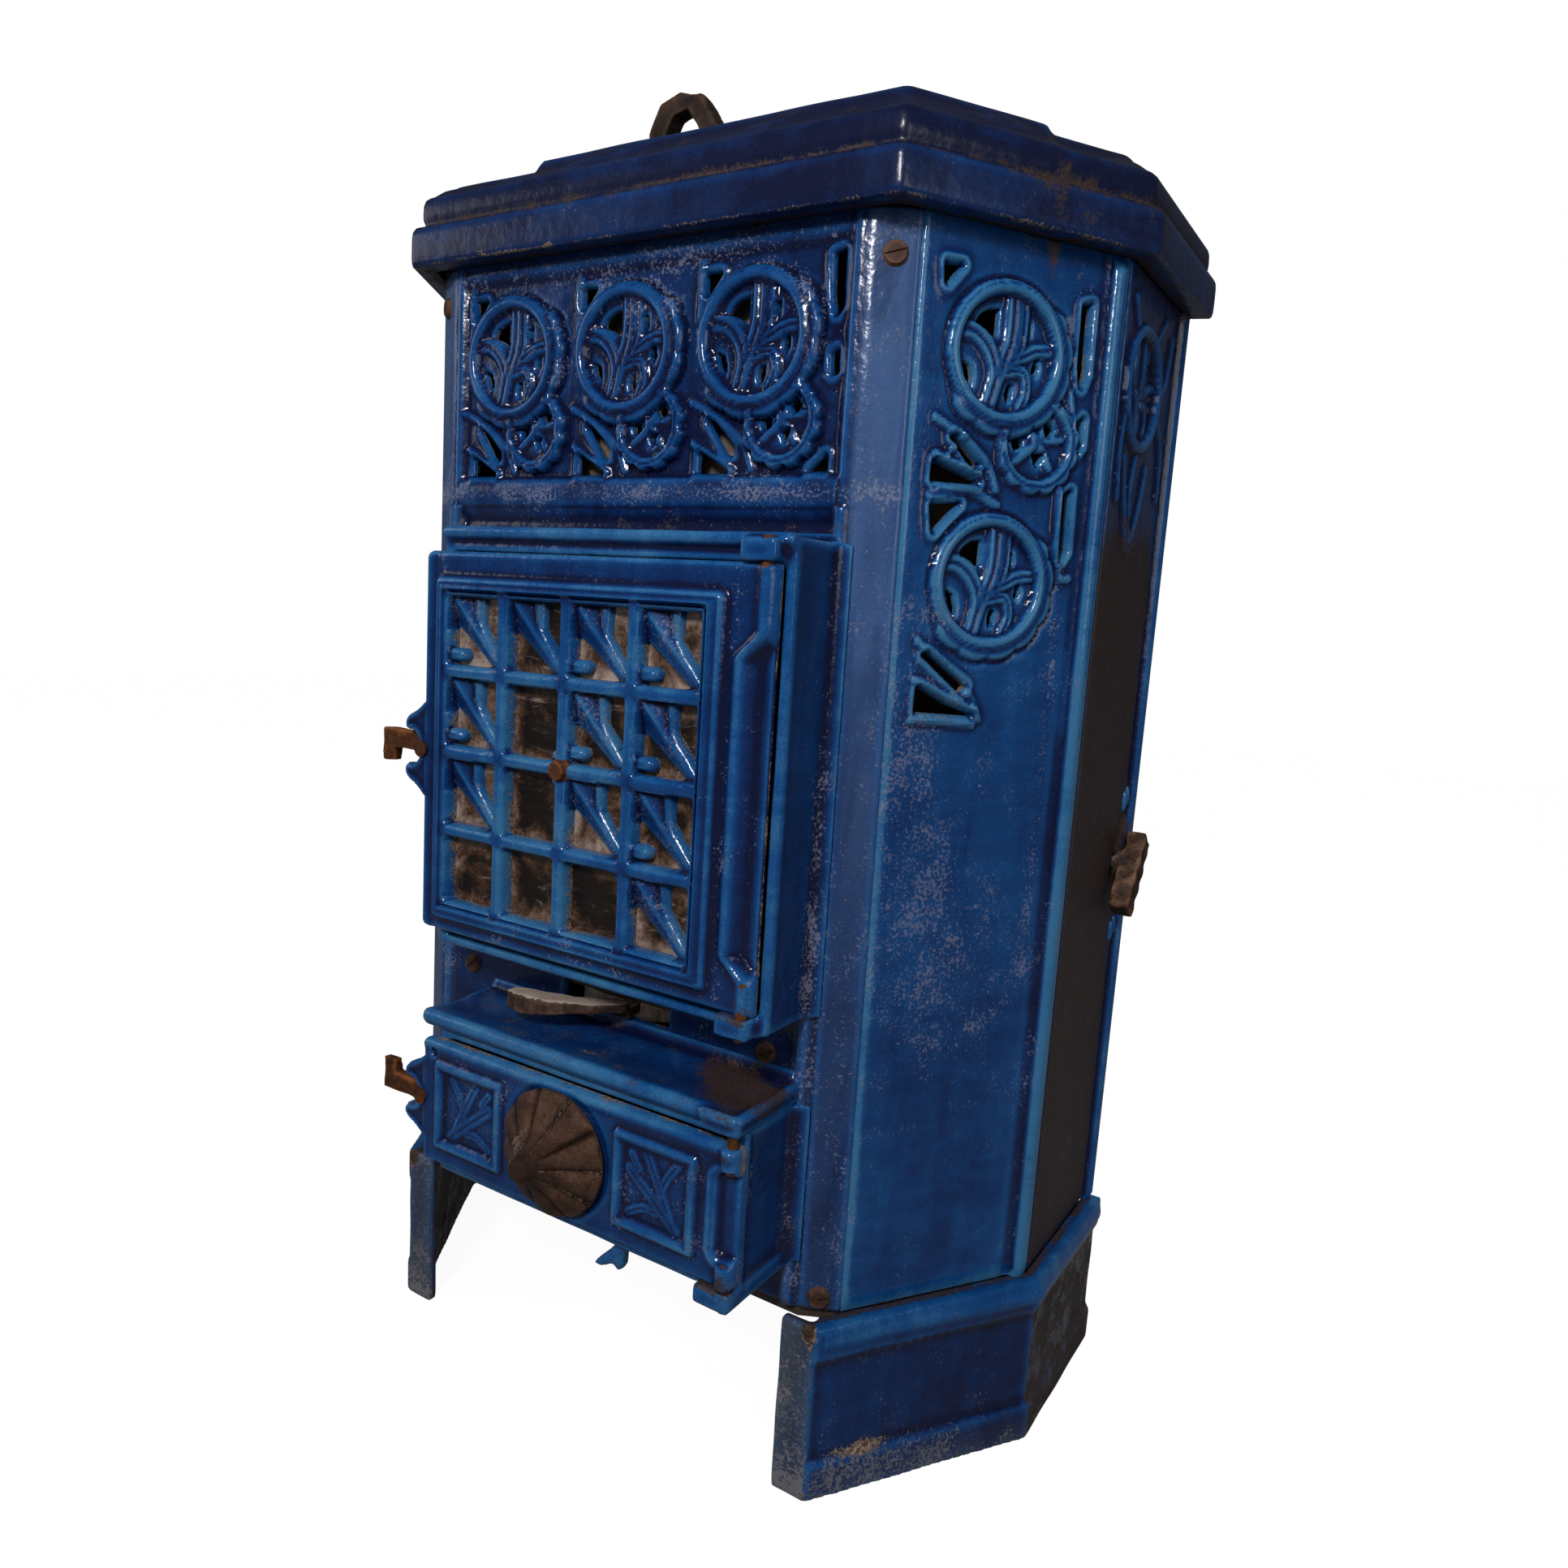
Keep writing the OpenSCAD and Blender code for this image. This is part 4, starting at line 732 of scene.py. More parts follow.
frontCuts = {
    "corner": [(-37, 39), (-28, 39), (-36.5, 28)],
    "slot": [(-30, -46), (-27, -47), (-13, -61), (-13, -65), (-17, -64)],
    "triangle": [(-36, -64), (-36.5, -75), (-16, -75)],
    "tall": [(50.5, 42), (55.5, 43), (56, 14), (53.5, 10), (51.5, 20)],
    "low": [(52.5, -11), (55, -10), (55.5, -21), (53.5, -22)],
    "foot": [(43, -74.5), (52, -74.5), (52, -67)],
}
frontRidges = [smoothCurve(path) for path in (
    [(-44, -34), (-24, -44), (-6, -58), (2, -74)], [(-42, -58), (-12, -75)], [(-40, 46), (-41, 14)])]
frontBoxes = {  # left, right, bottom, top and corner radius of the larger openings
    "neck": (-105.0, 150.3, 315.0, 581.0),
    "ash": (-91.0, 146.0, 157.0, 246.0),
    "slot": (-40.5, 51.5, 272.0, 288.0, 1.5),
}


def frontRelief(u, v):
    z = v - front["friezeZ"]
    side = np.abs(u)
    low, high = front["fieldZ"]
    field = stepUp(z, low, low + 4) * (1 - stepUp(z, high, high + 9)) * (1 - stepUp(side, 147, 154))
    h = -front["fieldDepth"] * field
    h = h + bead(z - front["bandZ"], 8, 1.6) * (side < 152)              # soft band under the openings
    h = h - front["coveDepth"] * hill(z - front["coveZ"], 7) * (side < 152)   # above the door's neck
    beside = v < neck["top"] + 20
    h = h + bead(side - 154.5, 4.6, front["sideBead"]) * beside
    h = h - 1.6 * hill(side - 161, 2.2) * beside
    h = h + 1.2 * hill(side - 155, 3) * ~beside
    hole = np.full(np.shape(u), -30.0)
    for x in front["ringsX"]:
        a = u - x
        near = (np.abs(a) < 62) & (np.abs(z) < 90)
        for path in frontRidges:
            h = np.where(near, ridge(a, z, path, 2.8, 2.0, h), h)
        for key in ("corner", "slot", "triangle"):
            h, hole = cutOut(a, z, h, hole, frontCuts[key])
    for key in ("tall", "low", "foot"):
        h, hole = cutOut(u - front["ringsX"][2], z, h, hole, frontCuts[key])
    smallX, smallZ = front["smallAt"]
    for x in front["ringsX"]:
        h, hole = drawRing(smallRing, u - x - smallX, z - smallZ, 40, h, hole)
    for x in front["ringsX"]:
        h, hole = drawRing(bigRing, u - x, z, 50, h, hole)
    return h, hole


def frontMetal(u, v):
    outline = boxDistance(u, v, -frontEnd, frontEnd, stove["plinthTop"], stove["bodyTop"], 2.0)
    cuts = [boxDistance(u, v, *box) for box in frontBoxes.values()]
    return np.minimum(outline, -np.maximum.reduce([*cuts, frontRelief(u, v)[1]]))


def frontStain(u, v, h):
    top = 0.55 * hill(v - stove["bodyTop"], 5)
    foot = 0.6 * hill(v - stove["plinthTop"], 12) * (np.abs(u) > 148)
    cove = 0.30 * hill(v - front["friezeZ"] + 108, 9)
    return np.maximum.reduce([top, foot, cove])


def frontLime(u, v, h):
    z = v - front["friezeZ"]
    halo = 0.25 * (z < -96)
    for x in front["ringsX"]:
        r = np.hypot(u - x, z)
        halo = np.maximum(halo, 0.9 * hill(r - 43, 4) * (z > -20))
        halo = np.maximum(halo, 0.35 * (r < 32))
    bands = 1.0 * hill(z - front["bandZ"], 7) + 0.75 * hill(z - 52, 9)
    facetLime = 0.30 * (np.abs(u) > 160) + 0.8 * hill(np.abs(u) - 156, 6) * (v < 470)
    return np.clip(np.maximum(halo, bands) + facetLime, 0, 1.2)


def frontBloomAndReflection(u, v, h):
    # Film and painted reflection: the corner facets take the bloom, more towards the top where they reflect
    # the light; a thin band lies under the openings and a little on the outer strips lower down
    facetFilmAndReflection = (0.25 + 0.70 * stepUp(v, 300, 620)) * stepUp(np.abs(u), 157, 163)
    band = 0.12 * hill(v - front["friezeZ"] - front["bandZ"], 6)
    return np.maximum(facetFilmAndReflection, band + 0.25 * (np.abs(u) > 148) * (v < 560))


us = spacedGrid(-frontEnd, frontEnd, front["fine"])
lowRows = spacedGrid(stove["plinthTop"], 590, 2.0, (stove["plinthTop"], 320), 6.5)
vs = np.concatenate([lowRows, spacedGrid(590, stove["bodyTop"], front["fine"])[1:]])
frontPlate = castPlate("frontPlateCast", us, vs, lambda u, v: frontRelief(u, v)[0], frontMetal, onFront,
                       front["thick"], 2.2, stainAndShade=frontStain, lime=frontLime, bloomAndReflection=frontBloomAndReflection)
own(frontPlate, "stove", "body_enamel", blue, "front_plate")
print("front plate", len(frontPlate.data.polygons))


# Fire door with its window of small panes
fireDoor = {
    "left": -121.0, "bottom": 320.0, "top": 573.0,
    "faceY": -56.0, "backY": -48.3,
    "hingeX": 144.0, "hingeR": 6.3,
    "curveZ": (346.0, 528.0),      # where the barrel ends give way to the hollow edge
    "windowX": 4.0, "windowZ": 443.5, "windowHalf": 105.0,
    "pitch": 52.5, "paneHalf": 21.75,
    "barHalf": 5.4, "barHeight": 2.8, "borderHeight": 5.0,
    "fine": 1.45,
    "pivot": (-122.5, 442.0), "noseTall": 33.0,
    "plain": ((1, 2), (1, 1), (0, 0), (1, 0), (2, 0)),        # panes that have lost their blade
    "balls": ((0, 3), (2, 3), (3, 3), (0, 2), (2, 2), (3, 2), (3, 1)),
    "stubs": ((1, 2, 0.93, 0.06), (1, 1, 0.95, 0.92), (2, 0, 0.96, 0.95)),   # column, row and place
    "stubRadius": 4.5,
}
blade = [(-0.05, 1.05), (0.60, 1.05), (0.60, 0.62), (1.05, 0.10), (1.05, -0.05), (0.86, -0.05),
         (0.14, 0.47), (-0.05, 0.60)]      # in shares of a pane
knobLine = [(-3, 6.6), (8.5, 6.6)]         # middle line of the small knob in a pane's corner
knobRadius = 4.4
bladeRidges = ([(0.06, 0.98), (0.97, 0.04)], [(0.50, 1.1), (0.52, 0.66), (0.62, 0.52)])


# The catch for a latch: a hump on the door's left edge with a round notch in its tip
nose = {"notchR": 11.5, "notchOut": 15.2, "tall": 33.0, "rimHeight": 1.5}
noseHalf = smoothCurve([(-8, 35), (-1, 33), (4, 29), (9, 25.5), (14, 23), (17.5, 20), (19, 16), (18, 11.5)])
noseOutline = [*noseHalf, (16, 0)] + [(x, -z) for x, z in reversed(noseHalf)]


def noseShape(u, v, door, tall):  # positive inside
    a, b = door["left"] - u, (v - door["pivot"][1]) / (tall / nose["tall"])
    return np.minimum(shapeDistance(a, b, noseOutline), np.hypot(a - nose["notchOut"], b) - nose["notchR"])


def noseRelief(u, v, door, tall):
    return nose["rimHeight"] * hill(noseShape(u, v, door, tall) - 2.6, 2.2) - 0.8


def fireDoorEdge(v):
    low, high = fireDoor["curveZ"]
    middle = stepUp(v, low - 9, low + 9) * (1 - stepUp(v, high - 9, high + 9))
    return fireDoor["hingeX"] + fireDoor["hingeR"] - 1.0 * middle, middle


def paneShapes(u, v):  # opening and blade distances, with each point's own pane
    pitch, half = fireDoor["pitch"], fireDoor["paneHalf"]
    x0 = fireDoor["windowX"] - fireDoor["windowHalf"]
    z0 = fireDoor["windowZ"] - fireDoor["windowHalf"]
    i = np.clip(np.floor((u - x0) / pitch), 0, 3)
    k = np.clip(np.floor((v - z0) / pitch), 0, 3)
    a = u - x0 - (i + 0.5) * pitch
    b = v - z0 - (k + 0.5) * pitch
    opening = boxDistance(a, b, -half, half, -half, half, 2.5)
    size = 2 * half
    s, t = (a + half) / size * size, (b + half) / size * size      # from the pane's lower left corner

    def inPane(column, row):
        return (i == column) & (k == row)

    plain = np.any([inPane(*pane) for pane in fireDoor["plain"]], 0)
    solid = np.where(plain, -9, shapeDistance(s, t, [(x * size, y * size) for x, y in blade]))
    knob = knobRadius - lineDistance(s, t, knobLine)
    for pane in fireDoor["balls"]:
        solid = np.where(inPane(*pane), np.maximum(solid, knob), solid)
    for column, row, x, y in fireDoor["stubs"]:
        stub = fireDoor["stubRadius"] - np.hypot(s - x * size, t - y * size)
        solid = np.where(inPane(column, row), np.maximum(solid, stub), solid)
    return opening, solid, s, t, plain


def fireDoorMetal(u, v):
    edge, _ = fireDoorEdge(v)
    outline = boxDistance(u, v, fireDoor["left"], fireDoor["hingeX"] + 20, fireDoor["bottom"],
                          fireDoor["top"], 5.0)
    outline = np.minimum(outline, edge - u)
    outline = np.maximum(outline, noseShape(u, v, fireDoor, fireDoor["noseTall"]))
    opening, solid = paneShapes(u, v)[:2]
    x, z, half = fireDoor["windowX"], fireDoor["windowZ"], fireDoor["windowHalf"]
    inWindow = boxDistance(u, v, x - half, x + half, z - half, z + half) > 0
    hole = np.where(inWindow, np.minimum(opening, -solid), -30)
    return np.minimum(outline, -hole)


def fireDoorHeight(u, v):
    middle = fireDoorEdge(v)[1]
    ridgeX = fireDoor["hingeX"] - 14.0 * middle    # the face ends here and falls back to the hinge side
    h = 2.2 * hill(u - ridgeX, 3.6) - 6.7 * stepUp(u, ridgeX + 1.5, ridgeX + 12.5)
    leftRoll = u - fireDoor["left"]
    h = h - 1.6 * hill(leftRoll - 9, 5) * (leftRoll > 0)
    x, z, half = fireDoor["windowX"], fireDoor["windowZ"], fireDoor["windowHalf"]
    outer = boxDistance(u, v, x - half - 7.5, x + half + 11, z - half - 9, z + half + 8.5, 5)
    inner = boxDistance(u, v, x - half - 0.5, x + half + 0.5, z - half - 0.5, z + half + 0.5, 2)
    border = fireDoor["borderHeight"] * stepUp(outer, -2.0, 3.2) - 0.5 * hill(outer - 4.8, 1.2)
    h = np.where(outer > -2.5, h + border, h)
    pitch = fireDoor["pitch"]
    toBar = [np.abs((c + half + pitch / 2) % pitch - pitch / 2) for c in (u - x, v - z)]
    bars = 0.8 + np.maximum(*(bead(d, fireDoor["barHalf"], fireDoor["barHeight"]) for d in toBar))
    h = np.where(inner > 0, bars, h)
    opening, _, s, t, plain = paneShapes(u, v)
    size = 2 * fireDoor["paneHalf"]
    first, second = (lineDistance(s, t, [(x * size, y * size) for x, y in line]) for line in bladeRidges)
    vane = np.maximum(-0.8 - 0.42 * first, -1.6 - 0.75 * second)
    knob = -0.9 + bead(lineDistance(s, t, knobLine), knobRadius, 1.6)
    vane = np.maximum(np.maximum(vane, -5.2), np.where((s < 14) & (t < 12), knob, -9))
    vane = np.where(plain, -1.5, vane)
    h = np.where((inner > 0) & (opening > 0), vane, h)
    return np.where(leftRoll < 0, noseRelief(u, v, fireDoor, fireDoor["noseTall"]), h)


def onDoor(faceY):
    return lambda u, v, h: np.stack([u, faceY - h, v], -1)


def fireDoorStain(u, v, h):
    corner = 0.8 * hill(np.hypot(u - 141, v - 571), 5) + 0.6 * hill(np.hypot(u - 146, v - 322), 7)
    deep = 0.28 * (h < -3.5) * (np.abs(u) < 110)
    return corner + deep


def fireDoorLime(u, v, h):
    sweep = 0.6 * hill(u - 126, 6) + 0.15 * hill(v - 322, 7)
    panes = 0.55 * ((h < -0.5) & (np.abs(u) < 108)) + 0.18 * (np.abs(v - 384) < 60) * (u > 0)
    return np.clip(sweep + panes, 0, 1.1)


us = np.concatenate([spacedGrid(-146, -108, 1.2), spacedGrid(-108, 152, fireDoor["fine"])[1:]])
vs = spacedGrid(fireDoor["bottom"] - 1, fireDoor["top"] + 1, fireDoor["fine"])
fireDoorPiece = castPlate("fireDoorCast", us, vs, fireDoorHeight, fireDoorMetal, onDoor(fireDoor["faceY"]),
                          fireDoor["backY"] - fireDoor["faceY"], 2.6, False, fireDoorStain, fireDoorLime)
own(fireDoorPiece, "fire_door", "door_enamel", blueDoor, "fire_door")
print("fire door", len(fireDoorPiece.data.polygons))


# Ash door with two framed leaves
ashDoor = {
    "left": -107.0, "bottom": 158.0, "top": 246.0,
    "faceY": -64.0, "backY": -56.3,
    "edgeX": 154.5,
    "rosette": (16.5, 202.0), "airHole": 30.0, "bridge": 11.0,
    "panelOut": 79.0, "panelHalf": 31.0,
    "hollow": (139.0, 175.0, 230.0),      # left side, bottom and top of the hollow by the hinge
    "pivot": (-108.5, 203.0), "noseTall": 30.0,
    "rustHole": (-97.0, 237.0, 2.6),      # rusted-through spot at the corner
    "fine": 1.4,
}
leaf = [(smoothCurve(path), half) for path, half in (
    ([(17, -21), (4, -10), (-19, 8)], 3.0), ([(16, -22), (4, 2), (-6, 21)], 2.6),
    ([(4, -4), (8, 8), (16, 20)], 2.2), ([(-19, -20), (-8, -14), (2, -14)], 2.2),
    ([(-18, 18), (-12, 10)], 2.0))]


def ashDoorMetal(u, v):
    outline = boxDistance(u, v, ashDoor["left"], ashDoor["edgeX"], ashDoor["bottom"], ashDoor["top"], 4.0)
    outline = np.maximum(outline, noseShape(u, v, ashDoor, ashDoor["noseTall"]))
    x, z = ashDoor["rosette"]
    hole = np.minimum(ashDoor["airHole"] - np.hypot(u - x, v - z), np.abs(v - z) - ashDoor["bridge"])
    x, z, radius = ashDoor["rustHole"]
    return np.minimum(outline, -np.maximum(hole, radius - np.hypot(u - x, v - z)))


def ashDoorHeight(u, v):
    left, low, high = ashDoor["hollow"]
    hollow = boxDistance(u, v, left, 190, low, high, 7)
    h = -5.0 * stepUp(hollow, -0.5, 3.5) + 1.5 * hill(hollow + 3.5, 2.4)
    toEdge = ashDoor["edgeX"] - u
    barrel = np.sqrt(np.clip(36 - (toEdge - 6) ** 2, 0, None)) - 1.6
    h = np.where((toEdge < 12) & (hollow < -2), np.maximum(h, barrel), h)
    h = h + 1.0 * hill(v - ashDoor["top"] + 4, 3)
    x, z = ashDoor["rosette"]
    h = h - 1.2 * (1 - stepUp(np.hypot(u - x, v - z), 41, 46))
    for side in (-1, 1):
        a, b = u - x - side * ashDoor["panelOut"], v - z
        half = ashDoor["panelHalf"]
        d = boxDistance(a, b, -half, half, -half, half, 2.5)
        frameH = bead(d - 2.6, 3.2, 3.0) + 1.2 * stepUp(d, 4.5, 6.0) - 2.2 * stepUp(d, 6.5, 8.2)
        relief = np.zeros(np.shape(u))
        for path, wide in leaf:
            reach = lineDistance(a * side, b, path)
            relief = np.maximum(relief, bead(reach, wide * 1.5, 1.2) - 0.7 * hill(reach, 0.8))
        h = np.where(d > -1, h + frameH + relief * (d > 8), h)
    return np.where(u < ashDoor["left"], noseRelief(u, v, ashDoor, ashDoor["noseTall"]), h)


def ashDoorStain(u, v, h):
    x, z = ashDoor["rosette"]
    spots = [(-97, 237, 6), (x, z - 6, 38), (147, 162, 8), (147, 240, 5)]
    return np.max([0.75 * hill(np.hypot(u - a, v - b), r) for a, b, r in spots], 0)


def ashDoorLime(u, v, h):
    panels = 0.35 * (np.abs(np.abs(u - 16.5) - 79) < 36) * (np.abs(v - 202) < 34)
    return np.clip(panels + 0.25 * hill(v - 242, 5) + 0.3 * hill(u - 134, 6), 0, 1)


us = spacedGrid(-132, 156, ashDoor["fine"])
vs = spacedGrid(ashDoor["bottom"] - 1, ashDoor["top"] + 1, ashDoor["fine"])
ashDoorPiece = castPlate("ashDoorCast", us, vs, ashDoorHeight, ashDoorMetal, onDoor(ashDoor["faceY"]),
                         ashDoor["backY"] - ashDoor["faceY"], 2.6, False, ashDoorStain, ashDoorLime)
own(ashDoorPiece, "ash_door", "door_enamel", blueDoor, "ash_door")
print("ash door", len(ashDoorPiece.data.polygons))


# Canted panels
canted = {
    "thick": 6.0,
    "rings": ((59.8, 699.8), (61.5, 571.8)),
    "smallAt": (26.0, -46.0), "smallShrink": 0.92,
    "stripU": 133.0, "stripHalf": 5.2, "stripHeight": 4.4,
    "fine": 1.45,
    "ornamentZ": 482.0,
}
cantCuts = [
    [(16.5, 741.5), (26, 742), (17.5, 731.5)],
    [(29, 651), (31, 651.5), (46.5, 638), (44.5, 635.5)],
    [(18.5, 636), (18, 626.5), (47, 627.5), (36, 631)],
    [(19, 612), (36, 614.5), (21, 598)],
    [(111, 734), (116, 735.5), (116.5, 697), (113.5, 689), (111.5, 700)],
    [(114, 668), (117.5, 671), (117.5, 656), (115, 653)],
    [(109.5, 626), (113.5, 629), (114, 594), (110, 588)],
    [(21.5, 528), (24, 529), (51, 511), (48, 508)],
    [(19.5, 509), (19, 495.5), (56, 494), (40, 499)],
]
cantRidges = [(smoothCurve(path), half) for path, half in (
    ([(16, 660), (34, 652), (52, 640), (60, 625)], 3.0), ([(18, 641), (47, 632)], 2.6),
    ([(16, 618), (40, 623), (62, 616)], 3.2), ([(104, 640), (106, 600), (110, 580), (118, 578)], 2.8),
    ([(104, 690), (108, 678), (110, 664)], 2.6), ([(16, 536), (34, 524), (54, 506), (62, 492)], 3.0),
    ([(16, 514), (58, 498)], 2.6), ([(15, 490), (58, 488)], 2.6), ([(36, 652), (26, 641)], 2.0))]


cantDirection = (0.5592, 0.8290)      # along the canted side, to the right and back


def onCanted(u, v, h):
    angle = math.atan2(cantDirection[1], cantDirection[0])
    startX = stove["frontHalf"] + stove["facet"] * math.cos(foldAngle)
    startY = stove["facet"] * math.sin(foldAngle)
    return np.stack([startX + u * math.cos(angle) + h * math.sin(angle),
                     startY + u * math.sin(angle) - h * math.cos(angle), v], -1)


def cantedRelief(u, v):
    strip, half, height = canted["stripU"], canted["stripHalf"], canted["stripHeight"]
    h = np.maximum(bead(u - strip, half, height), bead(u - strip - 2.5, half - 1, height * 0.8))
    h = h * stepUp(stove["bodyTop"] - v, 2, 12) - 0.7 * hill(u - 123, 3.5)
    h = h - 1.0 * (1 - stepUp(u, 0, 3)) ** 2
    hole = np.full(np.shape(u), -30.0)
    high = v > canted["ornamentZ"] - 8
    for path, half in cantRidges:
        h = np.where(high, ridge(u, v, path, half, 1.9, h), h)
    for shape in cantCuts:
        h, hole = cutOut(u, v, h, hole, shape, 1.7)
    x, z = canted["rings"][0]
    smallX, smallZ = canted["smallAt"]
    h, hole = drawRing(smallRing, u - x - smallX, v - z - smallZ, 42, h, hole, canted["smallShrink"])
    for x, z in canted["rings"]:
        h, hole = drawRing(bigRing, u - x, v - z, 50, h, hole)
    return h, hole


def cantedMetal(u, v):
    outline = boxDistance(u, v, 0.4, stove["cantLength"], stove["plinthTop"], stove["bodyTop"], 1.5)
    return np.minimum(outline, -cantedRelief(u, v)[1])


def cantedStain(u, v, h):
    drip = 0.95 * hill(u - 86, 5) * stepUp(v, 736, 762)
    top = 0.45 * hill(v - stove["bodyTop"], 5)
    return drip + top + 0.35 * hill(v - stove["plinthTop"], 5)


def cantedLime(u, v, h):
    top = 0.7 * hill(np.hypot((u - 116) / 10, (v - 728) / 26))
    column = 0.75 * hill(u - 112, 6) * (v < 590) * (v > 330)
    lower = 0.85 * hill(np.hypot((u - 60) / 55, (v - 330) / 80))
    lower = lower + 0.8 * hill(np.hypot((u - 20) / 25, (v - 460) / 70))
    seam = 0.5 * hill(u - 3, 4)
    return np.clip(0.14 + top + column + lower + seam, 0, 1.1)


us = spacedGrid(0, stove["cantLength"], canted["fine"])
vs = spacedGrid(stove["plinthTop"], stove["bodyTop"], canted["fine"],
                (canted["ornamentZ"], stove["bodyTop"]), 6.5)
for side, name in ((1, "Right"), (-1, "Left")):
    panel = castPlate("cantedPanel" + name, us, vs, lambda u, v: cantedRelief(u, v)[0], cantedMetal, onCanted,
                      canted["thick"], 2.2, side < 0, cantedStain, cantedLime)
    own(panel, "stove", "body_enamel", blueLitCanted, "canted_panel_" + name.lower())
print("canted panels")


# Side panels
sides = {
    "thick": 6.0,
    "ring": (46.0, 700.0),
    "stripU": 128.0, "stripHalf": 6.0, "stripHeight": 5.0,
    "keyZ": 386.0, "keyU": 104.0, "keyHole": 5.5,
    "floor": -1.5,
    "ornamentZ": 585.0,
    "fine": 1.6,
}
sideRidges = [(smoothCurve(path), half) for path, half in (
    ([(20, 655), (30, 630), (44, 602)], 3.6), ([(72, 655), (64, 628), (48, 600)], 3.6),
    ([(46, 660), (40, 635), (45, 606)], 3.4), ([(16, 690), (10, 660), (14, 630)], 3.0),
    ([(84, 700), (98, 716), (104, 742)], 3.2), ([(86, 690), (102, 670), (106, 640)], 3.2),
    ([(24, 735), (14, 748)], 3.0), ([(70, 735), (86, 750)], 3.0))]
sideSlits = [
    [(-14, 20), (-9, 23), (-8, -4), (-12, -2)],
    [(6, 22), (10, 20), (12, 2), (9, 0)],
    [(-2, -8), (3, -6), (4, -22), (0, -24)],
]


def onSide(u, v, h):
    x, y = stove["cantEnd"]
    return np.stack([x + h, y + u, v], -1)


def sideRelief(u, v, bossed):
    strip, half, height = sides["stripU"], sides["stripHalf"], sides["stripHeight"]
    h = bead(u - strip, half, height)
    if bossed:  # the strip swells round the damper key's boss
        swell = hill(v - sides["keyZ"], 26)
        h = np.maximum(h, bead(u - strip + 14 * swell, half + 9 * swell, height))
    for path, wide in sideRidges:
        h = np.where(v > sides["ornamentZ"], ridge(u, v, path, wide, 2.6, h), h)
    x, z = sides["ring"]
    a, b = u - x, v - z
    r = np.hypot(a, b)
    h = np.where(r < 50, np.maximum(bead(r - 35, 4.2, 4.2), h), h)
    inner = np.full(np.shape(u), sides["floor"])
    for path, wide in stems:
        inner = np.maximum(inner, sides["floor"] + bead(lineDistance(a, b, path), wide, 2.2))
    h = np.where(r < 31, inner, h)
    cut = np.maximum.reduce([shapeDistance(a, b, s) + 0.6 for s in sideSlits])
    return h, np.where(r < 33, cut, -30.0)


def sideMetal(u, v, bossed):
    hole = sideRelief(u, v, bossed)[1]
    if bossed:
        hole = np.maximum(hole, sides["keyHole"] - np.hypot(u - sides["keyU"], v - sides["keyZ"]))
    outline = boxDistance(u, v, 0.4, stove["sideLength"], stove["plinthTop"], stove["bodyTop"], 1.5)
    return np.minimum(outline, -hole)


def sideStainAndShade(u, v, h):
    # Painted dark reflection: the flat below the ornament is stained dark brown for the brown surroundings it
    # reflects, turned away from the light; a little rust lies all over and more along the top edge
    filmAndReflection = 0.95 * (1 - stepUp(v, 575, 640)) * (1 - stepUp(u, 114, 120))
    return filmAndReflection + 0.10 + 0.5 * hill(v - stove["bodyTop"], 10)


def sideLime(u, v, h):
    return 0.5 * hill(u - 118, 8)


us = spacedGrid(0, stove["sideLength"], sides["fine"])
vs = spacedGrid(stove["plinthTop"], stove["bodyTop"], sides["fine"], (590, stove["bodyTop"]), 5.0)
for right, name in ((True, "Right"), (False, "Left")):
    panel = castPlate("sidePanel" + name, us, vs, lambda u, v: sideRelief(u, v, right)[0],
                      lambda u, v: sideMetal(u, v, right), onSide, sides["thick"], 2.0, not right,
                      sideStainAndShade, sideLime)
    own(panel, "stove", "body_enamel", blueShadedSide, "side_panel_" + name.lower())
print("side panels")




# Castings made from the frame's own solids, softened as sand castings are
def addBox(shape, x0, x1, y0, y1, z0, z1):
    corners = toPart([(x, y, z) for x in (x0, x1) for y in (y0, y1) for z in (z0, z1)])
    verts = [shape.verts.new(c) for c in corners]
    for face in ((0, 1, 3, 2), (4, 6, 7, 5), (0, 4, 5, 1), (2, 3, 7, 6), (0, 2, 6, 4), (1, 5, 7, 3)):
        shape.faces.new([verts[k] for k in face])


def addPrism(shape, rings):  # closed solid through rings of stove points
    verts = [[shape.verts.new(p) for p in toPart(ring)] for ring in rings]
    count = len(rings[0])
    for low, high in zip(verts, verts[1:]):
        for k in range(count):
            shape.faces.new((low[k], low[(k + 1) % count], high[(k + 1) % count], high[k]))
    shape.faces.new(verts[0][::-1])
    shape.faces.new(verts[-1])


def addRod(shape, start, end, radius, endRadius=None, sides=24):
    start, end = Vector(start), Vector(end)
    across = (end - start).orthogonal().normalized()
    other = (end - start).normalized().cross(across)
    rings = []
    for middle, r in ((start, radius), (end, endRadius or radius)):
        rings.append([middle + r * (math.cos(a) * across + math.sin(a) * other)
                      for a in np.linspace(0, 2 * math.pi, sides, endpoint=False)])
    addPrism(shape, rings)


def applied(piece):  # keeps the result of the modifiers as a plain mesh
    result = bpy.data.meshes.new_from_object(piece.evaluated_get(bpy.context.evaluated_depsgraph_get()))
    piece.modifiers.clear()
    piece.data = result
    return piece


def facedOut(shape, mesh):  # turns the faces outwards and writes the mesh
    bmesh.ops.recalc_face_normals(shape, faces=shape.faces)
    shape.to_mesh(mesh)
    shape.free()


casting = {
    "weld": 2e-6,       # metres
    "waves": (((0.031, 0.022, 0.027), 0.4), ((-0.05, 0.043, 0.037), 2.0), ((0.083, 0.09, -0.071), 4.4),
              ((-0.12, 0.11, 0.14), 1.3)),      # direction and start of each wave of the uneven skin
}


